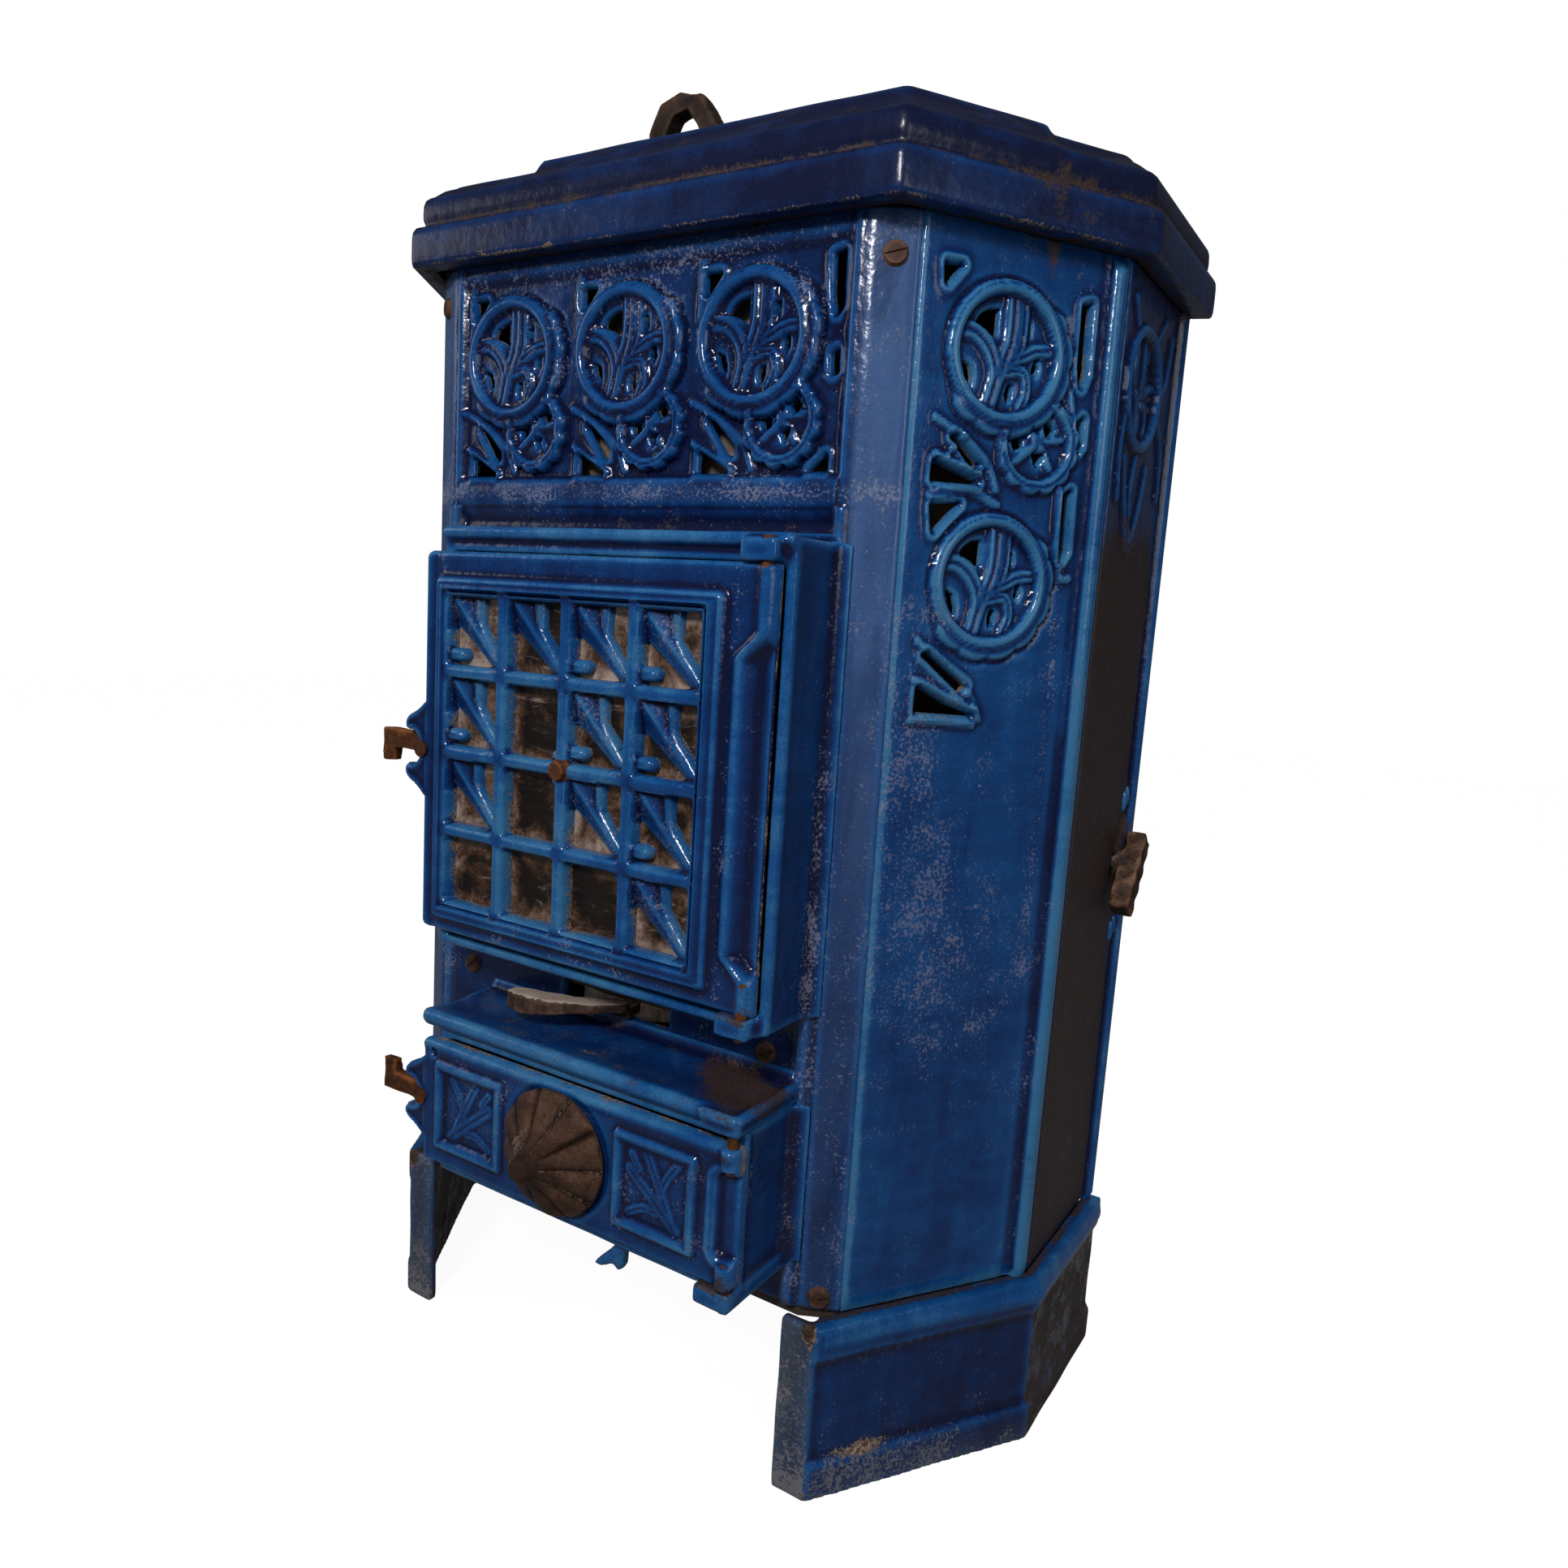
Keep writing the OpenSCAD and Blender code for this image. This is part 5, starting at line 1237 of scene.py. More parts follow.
def softCast(name, nodes, extras=None, voxel=1.9, rounds=6, uneven=0.25, bend=None, close=1.0):
    # voxel in mm, rounds of smoothing, uneven in mm, close packs the waves tighter
    shape = bmesh.new()
    for node in nodes:
        shape.from_mesh(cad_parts[node].data)
    bmesh.ops.remove_doubles(shape, verts=shape.verts, dist=casting["weld"])
    if extras:
        extras(shape)
    mesh = bpy.data.meshes.new(name)
    facedOut(shape, mesh)
    piece = newObject(name, mesh)
    remesh = piece.modifiers.new("Remesh", "REMESH")
    remesh.mode = "VOXEL"
    remesh.voxel_size = voxel / 1000
    smooth = piece.modifiers.new("Smooth", "SMOOTH")
    smooth.factor = 0.5
    smooth.iterations = rounds
    applied(piece)
    p = pointsOf(piece)
    wave = sum(np.sin(close * (p @ np.array(k)) + start) for k, start in casting["waves"])
    p = p + normalsOf(piece) * (wave * uneven / 4)[:, None]
    if bend:
        p = bend(p)
    piece.data.vertices.foreach_set("co", toPart(p).ravel())
    finishShading(piece, 70)
    addWear(piece, 10, 0.5)
    return piece


def spot(p, centre, size):  # soft patch round a point
    return np.exp(-(((p - np.array(centre)) / np.array(size)) ** 2).sum(1))


def spots(p, *rows):  # strength, middle and reach of each
    return sum(strength * spot(p, centre, size) for strength, centre, size in rows)


def within(p, x0, x1, z0, z1):
    return 1.0 * (p[:, 0] > x0) * (p[:, 0] < x1) * (p[:, 2] > z0) * (p[:, 2] < z1)


# Neck of the fire door, whose sizes stand with the front plate's
def neckExtras(shape):
    left, right, front, bottom, top = (neck[k] for k in ("left", "right", "front", "bottom", "top"))
    for x in (right - 2.6, left + 2.6):
        addRod(shape, (x, front + 2.6, bottom + 2), (x, front + 2.6, top - 2), neck["bead"])
    for z, y, r in ((top - 2.5, front - 0.5, 4.2), (top - 12, front + 2.0, 3.0)):
        addRod(shape, (left, y, z), (right, y, z), r)
    # Fillets where the neck grows out of the front plate
    for x, out in ((right - 1, 9), (left + 1, -9)):
        profile = [(x, -12), (x + out * 0.25, -5), (x + out, -0.6), (x + out, 1), (x, 1)]
        addPrism(shape, [[(a, b, z) for a, b in profile] for z in (bottom, top)])
    profile = [(-11, 0), (-4, 2.0), (-0.6, 7), (1, 7), (1, 0)]
    addPrism(shape, [[(x, a, top - 1 + b) for a, b in profile] for x in (left, right)])
    addRod(shape, (139.8, -53, 579.8), (139.8, -8, 577), 5.5)


neckCast = softCast("doorNeckCast", ["fire_door_frame"], neckExtras)
p = pointsOf(neckCast)
setValue(neckCast, "stainAndShade", spots(p, (0.45, (134, -60, 573), (10, 3, 3)), (0.55, (145, -60, 320), (16, 3, 3)))
         + 0.6 * within(p, neck["left"] + 8, neck["right"] - 8, 316, 568))
setValue(neckCast, "lime", spots(p, (0.8, (157, -5, 420), (6, 9, 150)), (0.9, (157, -8, 350), (6, 14, 40)),
                                 (0.6, (157, -20, 560), (6, 16, 20))))
own(neckCast, "stove", "body_enamel", blueDoor, "fire_door_frame")


# Ash box, with its lower hinge lug
ashBox = {
    "beadX": (151.5, -96.5),
    "beadY": -53.5,
    "beadR": 3.2,
    "z": (152.0, 252.0),
    "lug": (142.0, 6.5, 9.0),       # x, radius at the tip and at the root
}


def ashBoxExtras(shape):
    low, high = ashBox["z"]
    for x in ashBox["beadX"]:
        addRod(shape, (x, ashBox["beadY"], low), (x, ashBox["beadY"], high), ashBox["beadR"])
    profile = [(152, -14), (155, -5), (164, -0.6), (164, 1), (152, 1)]      # fillet beside the front plate
    addPrism(shape, [[(x, y, z) for x, y in profile] for z in (low - 2, high + 1)])
    x, tip, root = ashBox["lug"]
    addRod(shape, (x, -61, 148), (x, -4, 153), tip, root)


ashBoxCast = softCast("ashBoxCast", ["ash_box"], ashBoxExtras)
p = pointsOf(ashBoxCast)
boxRust = spots(p, (0.95, (144, -62, 158), (14, 10, 5)), (0.5, (150, -2, 160), (12, 8, 30)))
setValue(ashBoxCast, "stainAndShade", boxRust + 0.6 * within(p, -90, 146, 156, 247))
setValue(ashBoxCast, "lime", spots(p, (1.0, (153, -50, 205), (4, 5, 50)), (0.9, (156, -8, 200), (8, 10, 60))))
own(ashBoxCast, "stove", "body_enamel", blueDoor, "ash_box")


# Ledge over the ash door
ledge = {
    "lip": ((127, -66.5), (153.2, -66.5), (153.2, -6)), "lipZ": 263.2, "lipR": 3.4,
    "round": (-110.0, 128.0, -58.5, 260.0), "roundR": 5.2,
    "back": ((1, 263), (-9, 263), (-3, 266), (-0.5, 273), (1, 273)),      # upstand at the front plate
    "dip": 2.2, "dipY": -36.0,
}


def ledgeExtras(shape):
    for start, end in zip(ledge["lip"], ledge["lip"][1:]):
        addRod(shape, (*start, ledge["lipZ"]), (*end, ledge["lipZ"]), ledge["lipR"])
    x0, x1, y, z = ledge["round"]
    addRod(shape, (x0, y, z), (x1, y, z), ledge["roundR"])
    addPrism(shape, [[(x, y, z) for y, z in ledge["back"]] for x in (-108, 152)])


def ledgeDip(p):  # the top is worn hollow along its middle
    depth = ledge["dip"] * ((np.abs(p[:, 0]) < 150) * (p[:, 2] > 262) * hill(p[:, 1] - ledge["dipY"], 16))
    return p - depth[:, None] * [0, 0, 1]


ledgeCast = softCast("ledgeCast", ["ledge"], ledgeExtras, 1.8, 7, bend=ledgeDip)
p = pointsOf(ledgeCast)
topRust = spots(p, (0.95, (136, -34, 264), (24, 30, 9)), (0.6, (112, -22, 264), (16, 16, 9))) + 0.28
setValue(ledgeCast, "stainAndShade", (p[:, 2] > 258) * topRust + 0.8 * spot(p, (30, -60, 253), (190, 5, 3.2)))
setValue(ledgeCast, "bare", spots(p, (0.9, (22, -44, 263), (15, 3.4, 5)), (0.65, (52, -48, 263), (12, 2, 5))))
setValue(ledgeCast, "lime", 0.12 * (p[:, 2] > 256))
own(ledgeCast, "stove", "body_enamel", blueDoor, "ledge")
print("neck, ash box and ledge")


# Plinth halves
plinth = {
    "foldY": 128.5,
    "stripEnd": 182.2,      # the forward-facing strip ends here
    "mouldingZ": 107.5, "mouldingR": 8.4,
    "groundWear": 30.0,
}


def plinthHalf(sign, name):
    def extras(shape):
        path = [(178.6 * sign, -4.5), (271.5 * sign, 129.0), (271.5 * sign, 262.0)]
        for start, end in zip(path, path[1:]):
            addRod(shape, (*start, plinth["mouldingZ"]), (*end, plinth["mouldingZ"]), plinth["mouldingR"])

    cast = softCast("plinth" + name + "Cast", ["plinth_" + name.lower()], extras, 2.1, 9, 0.5)
    p = pointsOf(cast) * [sign, 1, 1]
    x, y, z = p.T
    low = np.clip(1 - z / plinth["groundWear"], 0, 1)
    strip = (y < -8) * (x < plinth["stripEnd"])
    side = (x > 268) * (y > plinth["foldY"]) * 1.0
    outward = (x - stove["sharpX"]) * cantDirection[1] - y * cantDirection[0]
    inner = np.where(y < 150, (outward < 4) & (x < 270), x < 270) * (1 - strip) * (y > -8) * 1.0
    setValue(cast, "lime", 1.2 * low + 0.9 * strip + 0.75 * side * (z < 96)
             + spots(p, (0.5, (215, 50, 92), (45, 60, 7)), (0.8, (215, 50, 24), (60, 80, 16))))
    setValue(cast, "bloomAndReflection", np.clip(0.9 * strip + 0.7 * low ** 2 + 0.45 * side * (z < 96), 0, 0.9))
    setValue(cast, "bare", spots(p, (1.5, (178.5, -10, 113), (7, 6, 9)), (1.25, (203, 27, 28), (28, 38, 7)))
             + 0.5 * (low > 0.8) + 0.4 * strip * (x > 180))
    setValue(cast, "stainAndShade", 0.8 * inner + 0.75 * side * (z < 98)
             + spots(p, (1.4, (178, -11, 114), (5, 6, 7)), (0.6, (222, 60, 96), (12, 14, 3)),
                     (0.5, (262, 118, 24), (6, 20, 12))))
    # The moulding's ridge is made lighter
    ridgeLift = 0.96 * hill(z - 110, 8) * (y > -6) * (1 - inner)
    setValue(cast, "edge", np.clip(ridgeLift + readBack(cast, "edge"), -1, 1))
    own(cast, "stove", "body_enamel", bluePlinth, "plinth_" + name.lower())


for sign, name in ((1, "Right"), (-1, "Left")):
    plinthHalf(sign, name)
print("plinth")


# Lid: one outline swept along its stepped profile
lid = {
    "backOut": 4.0,
    "corner": 4.0,
    "edgePoints": (44, 56, 132, 56, 44, 50),
    # Distance outside the body and height, along the inner and the outer skin
    "hollow": ((-17, 818), (-5, 805), (-5, 776.4), (2, 776.4), (2, 765.4)),
    "skin": ((15.2, 765), (16.6, 766), (17.2, 768.5), (17.4, 772), (17.3, 784), (16.8, 788), (15.2, 790.6),
             (12.6, 791.6), (10.4, 792), (9.4, 793.2), (9.6, 795.2), (10.6, 797.4), (10.8, 801),
             (10.5, 806.5), (9.3, 810), (7, 812.2), (5, 813.6), (3, 815.3), (1, 817), (-1, 818.8),
             (-3, 820.6),
             (-5.0, 822.6), (-7.0, 825), (-8.6, 827.4), (-10.2, 829.2), (-12.2, 830), (-15, 830), (-18, 830),
             (-21, 829.8), (-23.5, 828.6), (-25, 826.6), (-27, 825.4), (-31, 825), (-38, 825), (-42, 825.6),
             (-45, 827.4), (-48, 827.4), (-51, 825.6), (-56, 825)),
    "middle": (0.0, 128.0),
    "steps": ((95.0, 6.0), (99.0, 4.0)),
    "earX": 105.5, "earWide": 14.0,
    "hinge": (280.87, 775.0, 8.0),
    "backFoot": 776.6,      # the back edge ends higher than the rest
    "bumpHeight": 1.9,
    "grooveZ": 792.8,
    "chips": ((-170, 779), (-185, 775), (-120, 768), (-60, 767)),
}


def lidOutline(out):  # the plan outline, this far outside the body, with each point's edge and share
    sx, sy = stove["sharpX"] + 0.5317 * out, -out
    cx, cy = stove["cantEnd"][0] + out, stove["cantEnd"][1] - 0.3057 * out
    back = stove["backY"] + min(out, lid["backOut"])
    corners = np.array([(-cx, back), (-cx, cy), (-sx, sy), (sx, sy), (cx, cy), (cx, back)])
    points, info = [], []
    for k in range(6):
        a, b, c = corners[k], corners[(k + 1) % 6], corners[(k + 2) % 6]
        along = (b - a) / np.linalg.norm(b - a)
        start = a + along * (lid["corner"] if 1 <= k <= 4 else 0)
        end = b - along * (lid["corner"] if k <= 3 else 0)
        for t in np.linspace(0, 1, lid["edgePoints"][k]):
            points.append(start + (end - start) * t)
            info.append((k, t))
        if k <= 3:  # rounded corner
            nextStart = b + (c - b) / np.linalg.norm(c - b) * lid["corner"]
            for t in (0.2, 0.4, 0.6, 0.8):
                points.append((1 - t) ** 2 * end + 2 * t * (1 - t) * b + t * t * nextStart)
                info.append((k, 1.0))
    return np.array(points), np.array(info)


def lidSection(out, z, top=False):
    points, info = lidOutline(out)
    edge, t = info.T
    level = np.where(edge == 5, max(z, lid["backFoot"]), z)
    if not top or not -24 < out < 9:
        return np.column_stack([points, level]), np.zeros(len(points))
    # Worn leaf bumps on the shoulder, and the ridge's two steps
    length = np.cumsum(np.r_[0, np.hypot(*np.diff(lidOutline(0)[0], axis=0).T)])
    swell = np.sin(length / 21.0 + out * 0.09) + 0.5 * np.sin(length / 11.3 + out * 0.16 + 1.1)
    swell = np.clip(swell, -0.6, 1.3)
    slope = hill(out + 2, 5.5)
    level = level + lid["bumpHeight"] * swell * slope * (edge != 5)
    reach = np.clip((8 - out) / 18, 0, 1)
    (leftAt, leftDrop), (rightAt, rightDrop) = lid["steps"]
    left = np.where(edge < 2, 1.0, stepUp(-points[:, 0], leftAt - 3, leftAt + 3) * (edge == 2))
    right = np.where(edge == 4, 1.0, stepUp(t * 158, rightAt - 3, rightAt + 4) * (edge == 3))
    level = level - reach * (leftDrop * left + rightDrop * right)
    return np.column_stack([points, level]), -swell * slope


def makeLid():
    sections, tones, marks = [], [], []
    middle = np.array([*lid["middle"], 0])

    def put(section, tone, stainAndShade, bare=0, lime=0):
        sections.append(section)
        tones.append(tone)
        marks.append(np.array([stainAndShade, bare, lime])[:, None] * np.ones(len(section)))

    def fill(section, shares, stainAndShade):  # closes the sheet towards its middle
        for share in shares:
            put((section - middle) * [share, share, 1] + middle, 0, stainAndShade)

    fill(lidSection(*lid["hollow"][0])[0], (0.02, 0.35, 0.7), 0.9)
    for out, z in lid["hollow"]:
        put(lidSection(out, z)[0], 0, 0.95)
    for out, z in lid["skin"]:
        section, tone = lidSection(out, z, True)
        groove = hill(z - lid["grooveZ"], 4.6) * (out > 8)
        lip = hill(z - 765.5, 1.6)
        put(section, tone - 2.2 * groove, 0.62 * groove + 0.35 * (out < -24), 0.85 * lip, 0.12 * (out > 8))
    fill(sections[-1], (0.92, 0.8, 0.6, 0.4, 0.2, 0.02), 0.45)
    count = len(sections[0])
    p = np.concatenate(sections)
    faces = []
    for low in range(0, len(p) - count, count):
        for k in range(count):
            n = (k + 1) % count
            faces.append((low + k, low + n, low + count + n, low + count + k))
    faces.append(tuple(range(count))[::-1])
    faces.append(tuple(range(len(p) - count, len(p))))
    piece = meshPiece("lidCast", toPart(p), faces, 60)
    addWear(piece, 6, 1.3)
    stainAndShade, bare, lime = np.concatenate(marks, 1)
    tone = np.concatenate([np.zeros(count) + t for t in tones])
    # Painted shade: the upper band, which faces up, is darkened
    upperBandShade = 0.45 * (p[:, 2] > 795) * (p[:, 2] < 812)
    setValue(piece, "edge", readBack(piece, "edge") + 0.4 * np.clip(tone, -2, 0) * (tone < -1) - upperBandShade)
    # Painted shade: brown spots on the lid's right canted side, which is turned from the light
    cantSideShade = spots(p, (1, (243, 75, 786), (12, 26, 22)), (1, (262, 118, 780), (14, 30, 16)))
    setValue(piece, "stainAndShade", stainAndShade + 0.75 * np.clip(tone, 0, 1) + 0.5 * cantSideShade)
    setValue(piece, "bare", bare + spots(p, *((1.2, (x, -17, z), (3.2, 9, 1.6)) for x, z in lid["chips"])))
    setValue(piece, "lime", lime)
    return piece


lidCast = makeLid()
ears = bmesh.new()
hingeY, hingeZ, hingeR = lid["hinge"]
for middle in (-lid["earX"], lid["earX"]):
    x0, x1 = middle - lid["earWide"] / 2, middle + lid["earWide"] / 2
    addRod(ears, (x0, hingeY, hingeZ), (x1, hingeY, hingeZ), hingeR)
    addBox(ears, x0 + 0.2, x1 - 0.2, 262, hingeY, 777.2, hingeZ + hingeR - 0.1)
bmesh.ops.recalc_face_normals(ears, faces=ears.faces)
ears.from_mesh(lidCast.data)
ears.to_mesh(lidCast.data)
ears.free()
finishShading(lidCast, 60)
own(lidCast, "lid", "body_enamel", blueLid, "lid")
print("lid", len(lidCast.data.polygons))




# Bare iron pieces
def roughCast(name, body, slot, material, nodes, voxel, rounds, uneven, extras=None, bend=None):
    piece = softCast(name, nodes, extras, voxel, rounds, uneven, bend, 2.5)
    return own(piece, body, slot, material, *nodes)


loop = {
    "foot": np.array((0, 45, 826)),
    "pad": ((0, 45, 824.6), (0, 45, 828), 26, 22),
    "grow": (1.1, 1.1, 1.08),
}


def loopGrown(p):  # a little larger than the node, except at its foot
    return (p - loop["foot"]) * np.where(p[:, 2:] > 829, 1, 0.9) * loop["grow"] + loop["foot"]


roughCast("liftLoop", "lid", "rusty_iron", brownIron, ["lid_loop"], 1.1, 9, 1.0,
          lambda s: addRod(s, *loop["pad"]), loopGrown)
latches = {"bar": 13.5, "hook": 12.0, "drop": 18.5, "above": 9.6, "proud": 0.6}
for name, door, side in (("fire", fireDoor, 1), ("ash", ashDoor, -1)):
    def thicker(shape):  # a heavier bar and hook round the thin lever
        (x0, y0, _), (_, y1, _) = toStove(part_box(name + "_latch"))
        y0, y1 = y0 - latches["proud"], y1 + latches["proud"]
        pivotX, pivotZ = door["pivot"]
        top = pivotZ + latches["above"] * side
        for x1, tall in ((pivotX - 2, latches["bar"]), (x0 + latches["hook"], latches["drop"])):
            addBox(shape, x0, x1, y0, y1, *sorted((top, top - tall * side)))

    latch = name + "_latch"
    roughCast(name + "LatchIron", latch, "rusty_iron", latchIron, [latch], 0.9, 7, 0.8, thicker)


handle = {"rootZ": 286.5, "horn": 0.45, "up": 1.0}


def hornBend(p):  # the lever's end turns up into a horn, outside the front plate only
    rise = (handle["rootZ"] - p[:, 2:]) * stepUp(-p[:, 1:2], 4, 8) * handle["horn"]
    return p + [0, 0, handle["up"]] * (rise * (1 - stepUp(-p[:, :1], -12, 45)))


roughCast("shakerHandle", "grate", "dusty_iron", leverIron, ["shaker_lever"], 1.2, 9, 0.8, bend=hornBend)
roughCast("slotShield", "grate", "dusty_iron", shieldIron, ["slot_shield"], 0.8, 2, 0.35)
rods = {  # added to a node's own solid: start, end, both radii and the number of sides
    "damper_key": ((268, 234.9, 386), (280, 234.9, 386), 11, 8),
    "window_rivet": ((4, -52, 443.5), (4, -63.2, 443.5), 7.6, 6.2, 8),
}
roughCast("damperKey", "damper", "dusty_iron", keyIron, ["damper_key"], 1.2, 7, 1.6,
          lambda s: addRod(s, *rods["damper_key"]))
roughCast("windowRivet", "fire_door", "rusty_iron", latchIron, ["window_rivet"], 0.8, 4, 0.5,
          lambda s: addRod(s, *rods["window_rivet"]))
roughCast("flueCollar", "stove", "raw_casting", greyIron, ["flue_collar"], 2.2, 4, 0.4)
for node in ("fire_keeper", "ash_keeper"):
    roughCast(node.replace("_k", "K"), "stove", "rusty_iron", brownIron, [node], 0.7, 3, 0.2)
print("bare iron")


# Pieces that repeat or follow a rule, by geometry nodes
def nodeGroup(name, inputs):
    group = bpy.data.node_groups.new(name, "GeometryNodeTree")
    group.interface.new_socket("Geometry", in_out="INPUT", socket_type="NodeSocketGeometry")
    for label, kind, value in inputs:
        made = group.interface.new_socket(label, in_out="INPUT", socket_type="NodeSocket" + kind)
        if value is not None:
            made.default_value = value
    group.interface.new_socket("Geometry", in_out="OUTPUT", socket_type="NodeSocketGeometry")
    return group, newNode(group, "NodeGroupInput"), newNode(group, "NodeGroupOutput")


def grown(name, points, group, values):  # runs a node group on some points and keeps the mesh
    mesh = bpy.data.meshes.new(name)
    mesh.from_pydata([tuple(p) for p in toPart([q[0] for q in points])], [], [])
    facing = mesh.attributes.new("facing", "FLOAT_VECTOR", "POINT")
    facing.data.foreach_set("vector", np.ravel([q[1] for q in points]))
    piece = newObject(name, mesh)
    runGroup(piece, group, values)
    finishShading(piece, 40)
    addWear(piece, 6, 0.3)
    return piece


def runGroup(piece, group, values):  # inputs are set by identifier, before the first evaluation
    modifier = piece.modifiers.new(group.name, "NODES")
    modifier.node_group = group
    for item in group.interface.items_tree:
        if item.item_type == "SOCKET" and item.in_out == "INPUT" and item.name in values:
            modifier[item.identifier] = values[item.name]
    applied(piece)


def finishGroup(group, geometry, start, end):
    real = newNode(group, "GeometryNodeRealizeInstances", {0: geometry}).outputs[0]
    inputs = {"Geometry": real, "Material": start.outputs["Material"]}
    painted = newNode(group, "GeometryNodeSetMaterial", inputs)
    group.links.new(painted.outputs[0], end.inputs[0])


def upward(group, z):  # a vector along z
    return newNode(group, "ShaderNodeCombineXYZ", {2: z}).outputs[0]


screws = {
    "Radius": 0.0072,
    "Height": 0.0026,
    "Slot width": 0.0015,
    "Slot depth": 0.0013,
    "Seed": 3,
    "Material": screwIron,
}


def screwGroup():
    group, start, end = nodeGroup("slottedScrews", [
        ("Radius", "Float", 0.007), ("Height", "Float", 0.0025), ("Slot width", "Float", 0.0015),
        ("Slot depth", "Float", 0.001), ("Seed", "Int", 3), ("Material", "Material", None)])
    radius, height = start.outputs["Radius"], start.outputs["Height"]
    head = newNode(group, "GeometryNodeMeshCone", {
        "Vertices": 36, "Side Segments": 3, "Fill Segments": 4, "Radius Top": times(group, radius, 0.82),
        "Radius Bottom": radius, "Depth": height})
    # Domed top: points near the middle stand higher
    x, y, z = splitOf(group, newNode(group, "GeometryNodeInputPosition").outputs[0])
    across = calc(group, "SQRT", add(group, times(group, x, x), times(group, y, y)))
    share = calc(group, "DIVIDE", across, radius)
    dome = times(group, calc(group, "SUBTRACT", 1.0, times(group, share, share)), 0.0006)
    onTop = calc(group, "GREATER_THAN", z, times(group, height, 0.5))
    lift = upward(group, times(group, dome, onTop))
    domed = newNode(group, "GeometryNodeSetPosition", {"Geometry": head.outputs[0], "Offset": lift})
    slotSize = newNode(group, "ShaderNodeCombineXYZ", {
        0: 0.03, 1: start.outputs["Slot width"], 2: times(group, start.outputs["Slot depth"], 2)})
    slot = newNode(group, "GeometryNodeMeshCube", {"Size": slotSize.outputs[0]})
    slotPlace = upward(group, add(group, height, 0.0005))
    slot = newNode(group, "GeometryNodeTransform", {"Geometry": slot.outputs[0], "Translation": slotPlace})
    cutInputs = {"Mesh 1": domed.outputs[0], "Mesh 2": slot.outputs[0]}
    cut = newNode(group, "GeometryNodeMeshBoolean", cutInputs, operation="DIFFERENCE")
    facing = newNode(group, "GeometryNodeInputNamedAttribute", {"Name": "facing"}, data_type="FLOAT_VECTOR")
    turned = newNode(group, "FunctionNodeAlignRotationToVector", {"Vector": facing.outputs[0]}, axis="Z")
    spin = newNode(group, "FunctionNodeRandomValue", {"Seed": start.outputs["Seed"], 2: -0.5, 3: 0.9},
                   data_type="FLOAT")
    rotation = newNode(group, "FunctionNodeRotateRotation", {
        0: turned.outputs[0], 1: upward(group, spin.outputs[1])}, rotation_space="LOCAL")
    instances = newNode(group, "GeometryNodeInstanceOnPoints", {
        "Points": start.outputs[0], "Instance": cut.outputs[0], "Rotation": rotation.outputs[0]})
    finishGroup(group, instances.outputs[0], start, end)
    return group


screwHeads = screwGroup()
foldX = stove["frontHalf"] + stove["facet"] / 2 * math.cos(foldAngle)
foldY = stove["facet"] / 2 * math.sin(foldAngle)
facetScrews = [((side * foldX, foldY, z), (side * math.sin(foldAngle), -math.cos(foldAngle), 0))
               for side in (-1, 1) for z in (128, 743)]
frameScrews = [((side * 128.5, 0, 278), (0, -1, 0)) for side in (-1, 1)]
for name, places, node in (("facetScrews", facetScrews, "panel_screws"),
                           ("slotScrews", frameScrews, "frame_screws")):
    own(grown(name, places, screwHeads, screws), "stove", "rusty_iron", screwIron, node)


ribs = {
    "count": 4,
    "pitch": 6.0,
    "startU": 112.0,
    "startZ": (429.0, 333.0),       # above and below the damper's key
    "lean": 3.2,                    # how much higher each rib stands than the one before
    "sizes": {"Length": 0.015, "Half width": 0.002, "Material": blueLitCanted},
}


def ribGroup():
    group, start, end = nodeGroup("ribs", [
        ("Length", "Float", 0.015), ("Half width", "Float", 0.002), ("Material", "Material", None)])
    length = start.outputs["Length"]
    line = newNode(group, "GeometryNodeCurvePrimitiveLine", {
        "Start": upward(group, times(group, length, -0.5)), "End": upward(group, times(group, length, 0.5))})
    fine = newNode(group, "GeometryNodeResampleCurve", {"Curve": line.outputs[0], "Count": 13})
    factor = newNode(group, "GeometryNodeSplineParameter").outputs[0]
    bow = times(group, factor, calc(group, "SUBTRACT", 1.0, factor), 4.0)
    radius = times(group, calc(group, "POWER", bow, 0.4), start.outputs["Half width"])
    radius = add(group, radius, 0.00005)
    sized = newNode(group, "GeometryNodeSetCurveRadius", {"Curve": fine.outputs[0], "Radius": radius})
    circle = newNode(group, "GeometryNodeCurvePrimitiveCircle", {"Resolution": 14, "Radius": 1.0})
    tube = newNode(group, "GeometryNodeCurveToMesh", {
        "Curve": sized.outputs[0], "Profile Curve": circle.outputs[0], "Fill Caps": True,
        "Scale": newNode(group, "GeometryNodeInputRadius").outputs[0]})
    instances = newNode(group, "GeometryNodeInstanceOnPoints", {
        "Points": start.outputs[0], "Instance": tube.outputs[0]})
    finishGroup(group, instances.outputs[0], start, end)
    return group


ribPlaces = []
for z in ribs["startZ"]:
    for k in range(ribs["count"]):
        place = onSide(*np.array((ribs["startU"] + k * ribs["pitch"], z + k * ribs["lean"], 0.4)))
        ribPlaces.append((tuple(place), (1, 0, 0)))
sideRibs = grown("keyRibs", ribPlaces, ribGroup(), ribs["sizes"])
setValue(sideRibs, "edge", np.full(len(sideRibs.data.vertices), 0.6))
own(sideRibs, "stove", "body_enamel", blueLitCanted)


